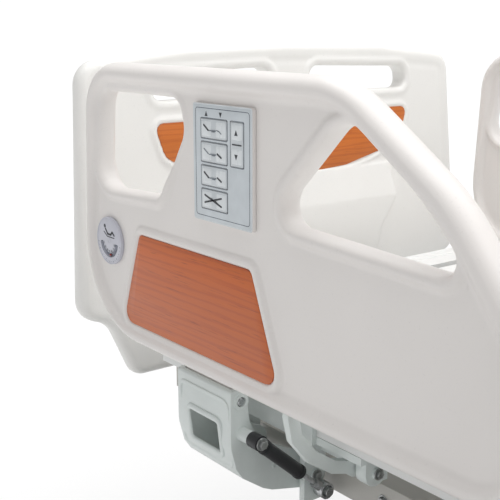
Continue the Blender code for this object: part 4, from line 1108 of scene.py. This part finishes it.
def key_icon(name, material, key, strokes, middle):
    parts = Parts()
    for u0, v0, u1, v1, width in strokes:
        parts.add(stroke(u0, middle + v0, u1, middle + v1, width))
    parts.build(name, material, key, "key_film", smooth=20)


def row_keys():
    for key, (v0, v1, dark, grey) in KEY_ROWS.items():
        top, bottom = v0 + 0.12 * (v1 - v0), v1 - 0.10 * (v1 - v0)
        key_pads(key, [(0.165, 0.325, top, bottom), (0.405, 0.572, top, bottom)])
        middle = (v0 + v1) / 2
        key_icon(key + "_icon", INK, key, dark, middle)
        if grey:
            key_icon(key + "_icon_grey", INK_GREY, key, grey, middle)


def height_key():
    key_pads("key_height", [(0.670, 0.840, 0.145, 0.272), (0.670, 0.840, 0.345, 0.470)])
    parts = Parts()
    for v, sign in ((0.212, 1), (0.408, -1)):
        parts.add(prism(arrow(0.752, v, sign, 0.0033, 0.0034), KEY_Y - 0.0001,
                        KEY_Y - 0.00115))
    parts.add(stroke(0.688, 0.308, 0.828, 0.308, 0.0017, KEY_Y - 0.0004))
    parts.build("key_height_icon", INK, "key_height", "key_film", smooth=20)


panel_print()
row_keys()
height_key()

# ================================================================ angle dial
DIAL_X, DIAL_Y, DIAL_Z = -0.8907, -0.5013, 0.6361
PRINT_Y = DIAL_Y + 0.0002                      # back of the printed marks
# seven-bar digits in a unit box: bars as (start, end), then the bars each digit lights
DIGIT_BARS = {"a": ((0, 1), (1, 1)), "b": ((1, 1), (1, .5)), "c": ((1, .5), (1, 0)),
              "d": ((0, 0), (1, 0)), "e": ((0, 0), (0, .5)), "f": ((0, .5), (0, 1)),
              "g": ((0, .5), (1, .5))}
DIGITS = {"0": "abcdef", "1": "bc", "3": "abgcd", "4": "fgbc", "5": "afgcd", "6": "afgedc",
          "7": "abc", "9": "abfgcd"}


def dial_xz(radius, degrees):
    """Place on the dial; 0 degrees is straight down, positive towards the foot."""
    turn = math.radians(degrees)
    return np.array((DIAL_X + radius * math.sin(turn), DIAL_Z - radius * math.cos(turn)))


def dial_rim():
    parts = Parts()
    parts.add(ring((DIAL_X, DIAL_Y + 0.0008, DIAL_Z), OUTWARD, 0.0366, 0.0384, 0.0014, 64))
    parts.add(ring((DIAL_X, DIAL_Y + 0.0004, DIAL_Z), OUTWARD, 0.0032, 0.0042, 0.0007))
    parts.build("dial_rim", DIAL, PANEL_BODY, "dial_disc", smooth=50)


def dial_ticks():
    """Dots and bars by turns round the lower half."""
    dot = [(0, 0), (0.00062, 0), (0.00055, 0.00035), (0, 0.0004)]
    parts = Parts()
    for i in range(17):
        degrees = -80 + 10 * i
        if i % 2:
            x, z = dial_xz(0.0338, degrees)
            parts.add(lathe((x, PRINT_Y, z), OUTWARD, dot, 10))
        else:
            tick = bar(dial_xz(0.0331, degrees), dial_xz(0.0353, degrees), 0.00045)
            parts.add(prism(tick, PRINT_Y, DIAL_Y - 0.00025))
    parts.build("dial_ticks", INK_GREY, PANEL_BODY, "dial_disc", smooth=30)


def dial_numbers():
    size, pitch, half = np.array((0.0016, 0.0030)), 0.0024, 0.00023
    parts = Parts()
    for i in range(7):
        text = str(15 * i)
        centre = dial_xz(0.0175, -72 + 24 * i)
        for j, digit in enumerate(text):
            middle = centre + np.array(((j - (len(text) - 1) / 2) * pitch, 0))
            for bar_name in DIGITS[digit]:
                start, end = (middle + (np.array(point) - 0.5) * size
                              for point in DIGIT_BARS[bar_name])
                overrun = unit(end - start) * half
                parts.add(prism(bar(start - overrun, end + overrun, half), PRINT_Y,
                                DIAL_Y - 0.0002))
    parts.build("dial_numbers", INK_GREY, PANEL_BODY, "dial_disc", smooth=30)


def track_outline(outer, inner, reach):
    """Curved track between two radii, reaching the same angle each way from the bottom."""
    return ([dial_xz(outer, degrees) for degrees in np.linspace(-reach, reach, 41)]
            + [dial_xz(inner, degrees) for degrees in np.linspace(reach, -reach, 41)])


def dial_track():
    parts = Parts()
    parts.add(prism(track_outline(0.0262, 0.0208, 80), -0.4974, -0.49765))
    parts.build("dial_track", DIAL_GROOVE, PANEL_BODY, "dial_disc", smooth=30)
    parts = Parts()
    parts.add(sweep(standing(track_outline(0.0266, 0.0204, 81), DIAL_Y),
                    ridge(0.0004, 0.0002, 0, 0.0004), OUTWARD))
    parts.build("dial_track_edge", INK_LINE, PANEL_BODY, "dial_disc")


def dial_figure():
    """Reclining figure: head dot, bent body bar and the line under it."""
    # (x, z) from the dial centre
    body = [(-0.0105, 0.0180), (-0.0035, 0.0105), (0.0060, 0.0105), (0.0105, 0.0150),
            (0.0165, 0.0105)]
    under = [(-0.0165, 0.0125), (-0.0055, 0.0055), (0.0170, 0.0055), (0.0170, 0.0070),
             (-0.0050, 0.0070), (-0.0157, 0.0138)]
    centre = np.array((DIAL_X, DIAL_Z))
    parts = Parts()
    parts.add(lathe((DIAL_X - 0.0125, PRINT_Y, DIAL_Z + 0.0225), OUTWARD,
                    [(0, 0), (0.0032, 0), (0.0031, 0.0004), (0, 0.00045)], 20))
    for start, end in zip(body[:-1], body[1:]):
        parts.add(prism(capsule(centre + start, centre + end, 0.0016), PRINT_Y,
                        DIAL_Y - 0.0003))
    parts.add(prism([centre + point for point in under], PRINT_Y, DIAL_Y - 0.00028))
    parts.build("dial_figure", INK, PANEL_BODY, "dial_disc", smooth=30)


dial_rim()
dial_ticks()
dial_numbers()
dial_track()
dial_figure()


# ================================================================ rail mechanism details
def arm_ribs(tag, mirror):
    """Beads round the window and the edge of the cast arm, and its pivot bosses."""
    # x margins, z0, z1, corner radius, y of the upper part, section
    loops = [(0.028, 0.026, 0.362, 0.418, 0.009, -0.4869, ellipse_section(0.0048, 0.0034, 10)),
             (0.007, 0.007, 0.349, 0.452, 0.012, -0.4867, ellipse_section(0.0036, 0.0022, 8))]
    bend_z = 0.385                             # the arm slopes inward below this
    parts = Parts()
    for left, right, z0, z1, radius, flat_y, section in loops:
        outline = rounded_box(ARM_X[0] + left, ARM_X[1] - right, z0, z1, radius, 6)
        path = [(x, flat_y if z >= bend_z else -0.4865 + (bend_z - z) * 0.30, z)
                for x, z in outline]
        parts.add(sweep(path, section, OUTWARD))
    for x, sign in zip(ARM_X, BOTH):
        parts.add(ring((x, *OUTER_LOW), (sign, 0, 0), 0.0080, 0.0140, 0.0022))
        parts.add(ring((x, *OUTER_TOP), (sign, 0, 0), 0.0074, 0.0125, 0.0014))
    parts.add(ring((ARM_X[1], -0.4060, 0.3365), (1, 0, 0), 0.0030, 0.0062, 0.0016, 20))
    parts.build("arm_ribs_" + tag, CAST, "rail_" + tag + "_swing_arm", "cast_white",
                mirror=mirror)


def inner_arm_bosses(tag, mirror):
    parts = Parts()
    for pivot in (INNER_LOW, INNER_TOP):
        for x, sign in zip(INNER_X, BOTH):
            parts.add(ring((x, *pivot), (sign, 0, 0), 0.0062, 0.0090, 0.0008, 24))
    parts.build("inner_arm_bosses_" + tag, CAST, "rail_" + tag + "_inner_swing_arm",
                "cast_white", mirror=mirror)


def bracket_fasteners(end, tag, mirror):
    at_head = end == "head"
    body = "back" if at_head else "frame"
    parts = Parts()
    hex_head(parts, (-0.5620, *OUTER_LOW), (1, 0, 0), 0.0062, 0.0040)
    hex_head(parts, (-0.4310, *INNER_LOW), (1, 0, 0), 0.0062, 0.0040)
    y, z, size, height = ((-0.360, 0.3985, 0.0062, 0.0042) if at_head
                          else (-0.350, 0.3885, 0.0058, 0.0040))
    for x in (-0.70, -0.62, -0.54, -0.45):
        hex_head(parts, (x, y, z), (0, 0, -1), size, height)
    if not at_head:
        for x, z in ((-0.55, 0.372), (-0.455, 0.300), (-0.55, 0.300)):
            hex_head(parts, (x, -0.3253, z), OUTWARD, 0.0060, 0.0042)
    parts.build("bracket_bolts_" + tag, BOLT, body, "bright_steel", mirror=mirror)
    if at_head:
        centres = [(x, -0.3310, 0.3740) for x in (-0.545, -0.470)]
        parts = Parts()
        for centre in centres:
            parts.add(ring(centre, OUTWARD, 0.0068, 0.0100, 0.0016, 24))
        parts.build("bracket_bolt_rings_" + tag, DARK_RUBBER, body, "black_plastic",
                    mirror=mirror)
        parts = Parts()
        for centre in centres:
            dome_head(parts, centre, OUTWARD, 0.0064, 0.0042)
        parts.build("bracket_face_bolts_" + tag, BOLT, body, "bright_steel", mirror=mirror)


def damper_details():
    """End caps, nuts and pin head of the damper."""
    along = unit(DAMPER_LOW - DAMPER_TOP)
    pin_face = np.array((0.0118, 0, 0))
    parts = Parts()
    for place, rim in ((0.016, 0.0112), (0.100, 0.0113)):
        parts.add(lathe(DAMPER_TOP + along * place, along, [
            (0.0090, 0), (rim, 0.0008), (rim, 0.0060), (0.0098, 0.0072), (0.0090, 0.0072)], 28))
    parts.add(lathe(DAMPER_TOP + along * 0.1075, along, [
        (0.0048, 0), (0.0092, 0), (0.0096, 0.0008), (0.0080, 0.0030), (0.0048, 0.0034)], 28))
    parts.build("damper_caps", BLACK, "damper_cylinder", "black_plastic")
    parts = Parts()
    hex_head(parts, DAMPER_TOP + pin_face, (1, 0, 0), 0.0068, 0.0050)
    parts.build("damper_top_nut", BOLT, "rail_head_near_swing_arm", "bright_steel")
    parts = Parts()
    parts.add(lathe(DAMPER_LOW - along * 0.028, along, [
        (0.0042, 0), (0.0066, 0), (0.0070, 0.0010), (0.0070, 0.0040), (0.0042, 0.0044)], 6))
    parts.build("damper_lock_nut", BOLT, "damper_rod", "bright_steel")
    parts = Parts()
    parts.add(lathe(DAMPER_LOW + pin_face, (1, 0, 0), [
        (0, 0), (0.0072, 0), (0.0076, 0.0006), (0.0076, 0.0022), (0.0068, 0.0030),
        (0, 0.0030)]))
    parts.build("damper_pin_head", BOLT, "back", "bright_steel")


for end_name, flip_x in ENDS:
    for side_name, flip_y in SIDES:
        rail_tag = end_name + "_" + side_name
        arm_ribs(rail_tag, (flip_x, flip_y))
        inner_arm_bosses(rail_tag, (flip_x, flip_y))
        bracket_fasteners(end_name, rail_tag, (flip_x, flip_y))
damper_details()

# ================================================================ deck details
# node, body, x0, x1, x of the cross ribs
DECKS = [
    ("back_deck", "back", -0.914, -0.208, (-0.88, -0.76, -0.64, -0.52, -0.40, -0.28)),
    ("seat_deck", "frame", -0.150, 0.030, (-0.12, 0.0)),
    ("thigh_deck", "thigh", 0.068, 0.345, (0.10, 0.20, 0.30)),
    ("calf_deck", "calf", 0.368, 0.935, (0.395, 0.51, 0.63, 0.75, 0.87)),
]
RIM_BEAD = [(-0.007, -0.0006), (-0.005, 0.0022), (-0.002, 0.0034), (0.002, 0.0034),
            (0.005, 0.0022), (0.007, -0.0006)]


def cross_bar(x, y0, y1, z, section):
    return sweep([(x, y0, z), (x, y1, z)], section, (0, 0, 1), closed=False)


def deck_details(node, body, x0, x1, ribs):
    parts = Parts()
    rim = rounded_box(x0 + 0.012, x1 - 0.012, -0.428, 0.428, 0.022, 8)
    parts.add(sweep([(x, y, DECK_TOP) for x, y in rim], RIM_BEAD, (0, 0, 1)))
    for x in ribs:
        for y0, y1 in ((-0.10, -0.385), (0.10, 0.385), (-0.075, 0.075)):
            parts.add(cross_bar(x, y0, y1, DECK_TOP, ridge(0.004, 0.0025, -0.0006, 0.0018)))
    parts.build(node + "_beads", DECK, body, "deck_moulding", smooth=50)
    parts = Parts()
    for x in (x0 + 0.030, x1 - 0.030):
        for y in (-0.385, -0.03, 0.03, 0.385):
            dome_head(parts, (x, y, DECK_TOP), (0, 0, 1), 0.0065, 0.0026)
    parts.build(node + "_screws", BOLT, body, "bright_steel")


for deck in DECKS:
    deck_details(*deck)


# ================================================================ actuators and cables
def collars(name, body, start, rings_x, bore, shoulder, rim, back, ring_foot, ring_top,
            up=DECK_LIFT):
    """Nose collar at the start of an actuator body and three rings along it."""
    parts = Parts()
    parts.add(lathe(start, (1, 0, 0), [
        (bore, 0), (shoulder, 0), (rim, 0.002), (rim, 0.016), (back, 0.019), (bore, 0.019)], 32))
    for q in range(3):
        parts.add(lathe((rings_x - 0.02 * q, *start[1:]), (1, 0, 0), [
            (ring_foot, 0), (ring_top, 0.0010), (ring_top, 0.0050), (ring_foot, 0.0060)], 32))
    parts.build(name, BLACK, body, "black_plastic", up=up)


def bed_actuator(tag, side, x0, x1):
    y = side * 0.06
    collars(tag + "_actuator_collars", "frame", (x0 - 0.0005, y, 0.360), x1 - 0.19,
            bore=0.0112, shoulder=0.0215, rim=0.0238, back=0.0226, ring_foot=0.0222,
            ring_top=0.0236)
    parts = Parts()
    for x in (x1 - 0.140, x1 - 0.010):
        for z in (0.342, 0.385):
            dome_head(parts, (x, y + side * 0.034, z), (0, side, 0), 0.0035, 0.0020)
    parts.build(tag + "_actuator_screws", BOLT, "frame", "bright_steel")


def actuator_cables():
    parts = Parts()
    for s in (1, -1):
        parts.add(hose([(0.545, s * 0.062, 0.3480), (0.562, s * 0.062, 0.3480),
                        (0.575, s * 0.050, 0.3500), (0.592, s * 0.045, 0.3520)], 0.0034))
    parts.build("actuator_cables", CABLE, "frame", "black_plastic")


def control_box_details():
    """Ribs across the top and two cable bushings on the head-end face."""
    parts = Parts()
    for x in (0.610, 0.640, 0.670, 0.700, 0.730, 0.760):
        parts.add(cross_bar(x, -0.062, 0.062, 0.392, ridge(0.003, 0.002, -0.0006, 0.0016)))
    for y in (-0.045, 0.045):
        parts.add(lathe((0.5855, y, 0.352), (-1, 0, 0), [
            (0.0036, -0.001), (0.0080, -0.001), (0.0080, 0.0060), (0.0062, 0.0095),
            (0.0036, 0.0095)], 20))
    parts.build("control_box_details", BLACK, "frame", "black_plastic")


bed_actuator("back", side=1, x0=-0.075, x1=0.555)
bed_actuator("knee", side=-1, x0=0.185, x1=0.555)
actuator_cables()
control_box_details()
collars("lift_actuator_collars", "base", (-0.3005, 0, 0.205), -0.02, bore=0.0104,
        shoulder=0.0195, rim=0.0214, back=0.0202, ring_foot=0.0198, ring_top=0.0210, up=0)


# ================================================================ frame and base
def frame_bolts():
    parts = Parts()
    for s in BOTH:
        for x in (-0.905, -0.45, -0.0675, 0.54, 0.80, 0.905):
            hex_head(parts, (x, s * 0.315, 0.305), (0, s, 0), 0.0065, 0.0045)
        for x in (-0.97, 0.97):
            hex_head(parts, (x, s * 0.275, 0.3075), (0, s, 0), 0.0060, 0.0042)
    parts.build("frame_bolts", BOLT, "frame", "bright_steel")


def frame_plugs():
    """Collars on the cross ends and end plugs of the side beams."""
    parts = Parts()
    for sx in BOTH:
        for sy in BOTH:
            parts.add(lathe((sx * 1.033, sy * 0.25, 0.333), (0, 0, 1), [
                (0.0078, -0.0005), (0.0150, -0.0005), (0.0150, 0.0020), (0.0125, 0.0050),
                (0.0078, 0.0050)], 28))
            parts.add(rounded_cap(
                0, centre=(sy * FRAME_BEAM_Y, 0.305), half=(0.027, 0.022),
                levels=(sx * 0.9295, sx * 0.9325, sx * 0.9345), shrink=(0.9, 0.88),
                flip=sx < 0))
    parts.build("frame_plugs", DARK_RUBBER, "frame", "black_plastic")


def base_bolts():
    parts = Parts()
    for sx in BOTH:
        for sy in BOTH:
            for offset in (-0.0234, 0.0234):
                hex_head(parts, (sx * CASTOR_X + offset, sy * BASE_BEAM_Y, 0.155), (0, 0, 1),
                         0.0065, 0.0050)
            hex_head(parts, (sx * CASTOR_X, sy * CASTOR_Y, 0.155), (0, 0, 1), 0.0090, 0.0070)
    for sy in BOTH:
        for x in (0.31, 0.44):
            hex_head(parts, (x, sy * 0.236, 0.108), (0, sy, 0), 0.0055, 0.004, washer=False)
    parts.build("base_bolts", BOLT, "base", "bright_steel", up=0)


def base_plugs():
    """End plugs of the long beams and of the castor cross beams."""
    parts = Parts()
    for sx in BOTH:
        for sy in BOTH:
            parts.add(rounded_cap(
                0, centre=(sy * BASE_BEAM_Y, 0.120), half=(0.0245, 0.0245),
                levels=(sx * 0.7595, sx * 0.7625, sx * 0.7645), shrink=(0.88, 0.88),
                flip=sx < 0))
            parts.add(rounded_cap(
                1, centre=(sx * CASTOR_X, 0.14), half=(0.0395, 0.0145),
                levels=(sy * 0.4245, sy * 0.4275, sy * 0.4295), shrink=(0.93, 0.86),
                flip=sy > 0))
    parts.build("base_plugs", DARK_RUBBER, "base", "black_plastic", up=0)


frame_bolts()
frame_plugs()
base_bolts()
base_plugs()


# ================================================================ castors
def wheel_hub(tag, x, y):
    """Dished cover on each face of the wheel with six studs."""
    parts = Parts()
    for s in BOTH:
        parts.add(lathe((x, y + s * 0.0150, AXLE_Z), (0, s, 0), [
            (0.0085, 0.0), (0.0325, 0.0), (0.0322, 0.0012), (0.0290, 0.0022),
            (0.0200, 0.0030), (0.0120, 0.0034), (0.0085, 0.0034)], 36))
        for q in range(6):
            turn = 2 * math.pi * q / 6
            parts.add(lathe((x + 0.0215 * math.cos(turn), y + s * 0.0174,
                             AXLE_Z + 0.0215 * math.sin(turn)), (0, s, 0), [
                (0, -0.0006), (0.0042, -0.0006), (0.0040, 0.0006), (0.0030, 0.0009),
                (0, 0.0009)], 12))
    parts.build("wheel_hub_" + tag, GREY_HUB, "wheel_" + tag, "castor_rubber", up=0)


def wheel_tread(tag, x, y):
    """Small blocks round both shoulders of the tyre."""
    centre = np.array((x, y, AXLE_Z))
    faces = [(0, 1, 2, 3), (7, 6, 5, 4), (0, 4, 5, 1), (1, 5, 6, 2), (2, 6, 7, 3), (3, 7, 4, 0)]
    parts = Parts()
    for q in range(48):
        turn = 2 * math.pi * q / 48
        spoke = np.array((math.cos(turn), 0, math.sin(turn)))
        tangent = np.array((-math.sin(turn), 0, math.cos(turn)))
        for s in BOTH:
            lift = (spoke * 0.7 + np.array((0, s * 0.7, 0))) * 0.0007
            verts = []
            for radius, offset in ((0.0485, 0.0098), (0.0462, 0.0148)):
                point = centre + spoke * radius + np.array((0, s * offset, 0))
                verts += [point + tangent * w - spoke * 0.0004 for w in (-0.0011, 0.0011)]
                verts += [point + tangent * w + lift for w in (0.0008, -0.0008)]
            parts.add((verts, faces))
    parts.build("wheel_tread_" + tag, RUBBER, "wheel_" + tag, "castor_rubber", up=0)


def castor_fittings(tag, x, y, wheel_x):
    """Axle nuts, the disc over the fork and the two swivel races."""
    parts = Parts()
    for s in BOTH:
        hex_head(parts, (wheel_x, y + s * 0.0235, AXLE_Z), (0, s, 0), 0.0062, 0.0034)
    parts.add(lathe((x, y, 0.1005), (0, 0, 1), [
        (0, 0), (0.0150, 0), (0.0190, 0.0015), (0.0205, 0.0045), (0, 0.0045)], 32))
    parts.build("castor_nuts_" + tag, BOLT, "castor_" + tag, "bright_steel", up=0)
    parts = Parts()
    for z in (0.1100, 0.1158):
        parts.add(lathe((x, y, z), (0, 0, 1), [
            (0.0200, 0), (0.0268, 0), (0.0276, 0.0009), (0.0276, 0.0022), (0.0268, 0.0031),
            (0.0200, 0.0031)], 36))
    parts.build("castor_race_" + tag, DARK_RUBBER, "castor_" + tag, "black_plastic", up=0)


def build_castors():
    for (end, _), sx in zip(ENDS, BOTH):
        for (side, _), sy in zip(SIDES, BOTH):
            tag = end + "_" + side
            x, y = sx * CASTOR_X, sy * CASTOR_Y
            wheel_x = x - 0.030
            wheel_hub(tag, wheel_x, y)
            wheel_tread(tag, wheel_x, y)
            castor_fittings(tag, x, y, wheel_x)


def pedal_tread(side, sign, material):
    """Ribbed pad on a brake pedal."""
    x0, x1, y, half_y = 0.748, 0.809, sign * 0.276, 0.021
    parts = Parts()
    parts.add(rounded_cap(
        2, centre=((x0 + x1) / 2, y), half=((x1 - x0) / 2, half_y),
        levels=(0.1170, 0.1190, 0.1202), shrink=(0.93, 0.90), radius=0.006, steps=5))
    for i in range(7):
        parts.add(cross_bar(x0 + 0.009 + 0.0072 * i, y - half_y + 0.005, y + half_y - 0.005,
                            0.1200, ridge(0.0016, 0.0010, -0.0004, 0.0011)))
    parts.build("pedal_tread_" + side, material, "brake", "black_plastic", up=0)


def scissor_centre_nuts():
    x, z = sum(SCISSOR_X) / 2, sum(SCISSOR_Z) / 2
    parts = Parts()
    for s in BOTH:
        parts.add(lathe((x, s * 0.1800, z), (0, s, 0), [
            (0, -0.0005), (0.0150, -0.0005), (0.0150, 0.0018), (0.0138, 0.0028),
            (0, 0.0028)], 28))
        hex_head(parts, (x, s * 0.1828, z), (0, s, 0), 0.0080, 0.0060, washer=False)
    parts.build("scissor_centre_nuts", BOLT, "lift_arms_outer", "bright_steel", up=0)


build_castors()
pedal_tread("near", -1, RED_TREAD)
pedal_tread("far", 1, GREEN_TREAD)
scissor_centre_nuts()


# ================================================================ stage, lights, camera
def floor_material():
    """White floor that glows more the further it is from the bed."""
    shader = Shader("studio_floor")
    base = shader.tone(shader.noise(0.8, detail=3), (0.3, 0.7), dark=(0.93, 0.93, 0.93, 1),
                       light=(0.95, 0.95, 0.95, 1))
    gloss = shader.fade(shader.noise(6.0), span=(0.3, 0.7), to=(0.7, 0.85))
    normal = shader.bump(shader.noise(300.0, detail=2), strength=0.05, distance=0.0003)
    material = shader.finish(base, gloss, normal)
    place = shader.node("NewGeometry").outputs["Position"]
    distance = shader.node("VectorMath", {0: place}, operation="LENGTH").outputs["Value"]
    glowing = shader.fade(distance, span=(0.8, 3.0), to=(0.58, 1.0),
                          interpolation_type="SMOOTHSTEP")
    glow = shader.node("Emission", {"Color": (1, 1, 1, 1), "Strength": 1.08})
    bright = shader.node("MixShader", {0: glowing, 1: shader.surface.outputs[0],
                                       2: glow.outputs[0]})
    # light thrown back up under the bed comes from a duller floor than the one seen,
    # so its underside stays in shade
    dull = shader.node("BsdfDiffuse", {"Color": (0.60, 0.60, 0.60, 1)})
    camera_ray = shader.node("LightPath").outputs["Is Camera Ray"]
    far = shader.fade(distance, span=(0.7, 1.5), to=(0.0, 1.0),
                      interpolation_type="SMOOTHSTEP")
    seen = shader.node("MixShader", {0: shader.math("MAXIMUM", camera_ray, far),
                                     1: dull.outputs[0], 2: bright.outputs[0]})
    shader.link(seen.outputs[0], shader.output.inputs["Surface"])
    return material


def stage_floor(half=14, count=24):
    mesh = bpy.data.meshes.new("floor")
    ticks = [-half + 2 * half * i / count for i in range(count + 1)]
    faces = []
    for i in range(count):
        for j in range(count):
            k = i * (count + 1) + j
            faces.append((k, k + count + 1, k + count + 2, k + 1))
    mesh.from_pydata([(x, y, -0.0005) for x in ticks for y in ticks], [], faces)
    item = bpy.data.objects.new("floor", mesh)
    bpy.context.scene.collection.objects.link(item)
    mesh.materials.append(floor_material())


def studio_world(light, backdrop):
    """White world: one strength lights the scene, another is what the camera sees."""
    world = bpy.data.worlds.new("studio")
    bpy.context.scene.world = world
    world.use_nodes = True
    tree = world.node_tree
    tree.nodes.clear()
    output = add_node(tree, "OutputWorld")
    lit, seen = (add_node(tree, "Background", {0: (1.0, 1.0, 1.0, 1), 1: strength})
                 for strength in (light, backdrop))
    camera_ray = add_node(tree, "LightPath").outputs["Is Camera Ray"]
    mixed = add_node(tree, "MixShader", {0: camera_ray, 1: lit.outputs[0], 2: seen.outputs[0]})
    tree.links.new(mixed.outputs[0], output.inputs[0])


def area_light(name, place, target, size, power, colour=(1, 1, 1)):
    light = bpy.data.lights.new(name, "AREA")
    light.shape = "RECTANGLE"
    light.size, light.size_y = size
    light.energy = power
    light.color = colour
    item = bpy.data.objects.new(name, light)
    bpy.context.scene.collection.objects.link(item)
    item.location = place
    item.rotation_mode = "QUATERNION"
    item.rotation_quaternion = (Vector(target) - Vector(place)).to_track_quat("-Z", "Y")


def add_camera(place, turn, lens):
    camera = bpy.data.cameras.new("camera")
    item = bpy.data.objects.new("camera", camera)
    bpy.context.scene.collection.objects.link(item)
    camera.lens, camera.sensor_width = lens, 36.0
    camera.clip_start, camera.clip_end = 0.02, 100
    item.rotation_mode = "QUATERNION"
    item.rotation_quaternion = Matrix(turn).to_quaternion()
    item.location = place
    bpy.context.scene.camera = item


stage_floor()
studio_world(light=0.43, backdrop=1.05)
area_light("key", (2.9, 0.3, 3.0), target=(-0.6, 0, 0.7), size=(2.4, 2.4), power=36,
           colour=(1.0, 0.992, 0.98))
area_light("top", (-0.5, 0.3, 3.6), target=(-0.4, 0, 0.5), size=(4.2, 3.2), power=108)
add_camera(
    place=(0.4445, -1.2393, 1.0731), lens=69.665,
    turn=((0.60789, -0.17984, 0.77341),        # columns: right, up, backward
          (0.79409, 0.1396, -0.59154),
          (-0.00158, 0.97372, 0.22768)))
bpy.context.scene.view_settings.view_transform = "Standard"
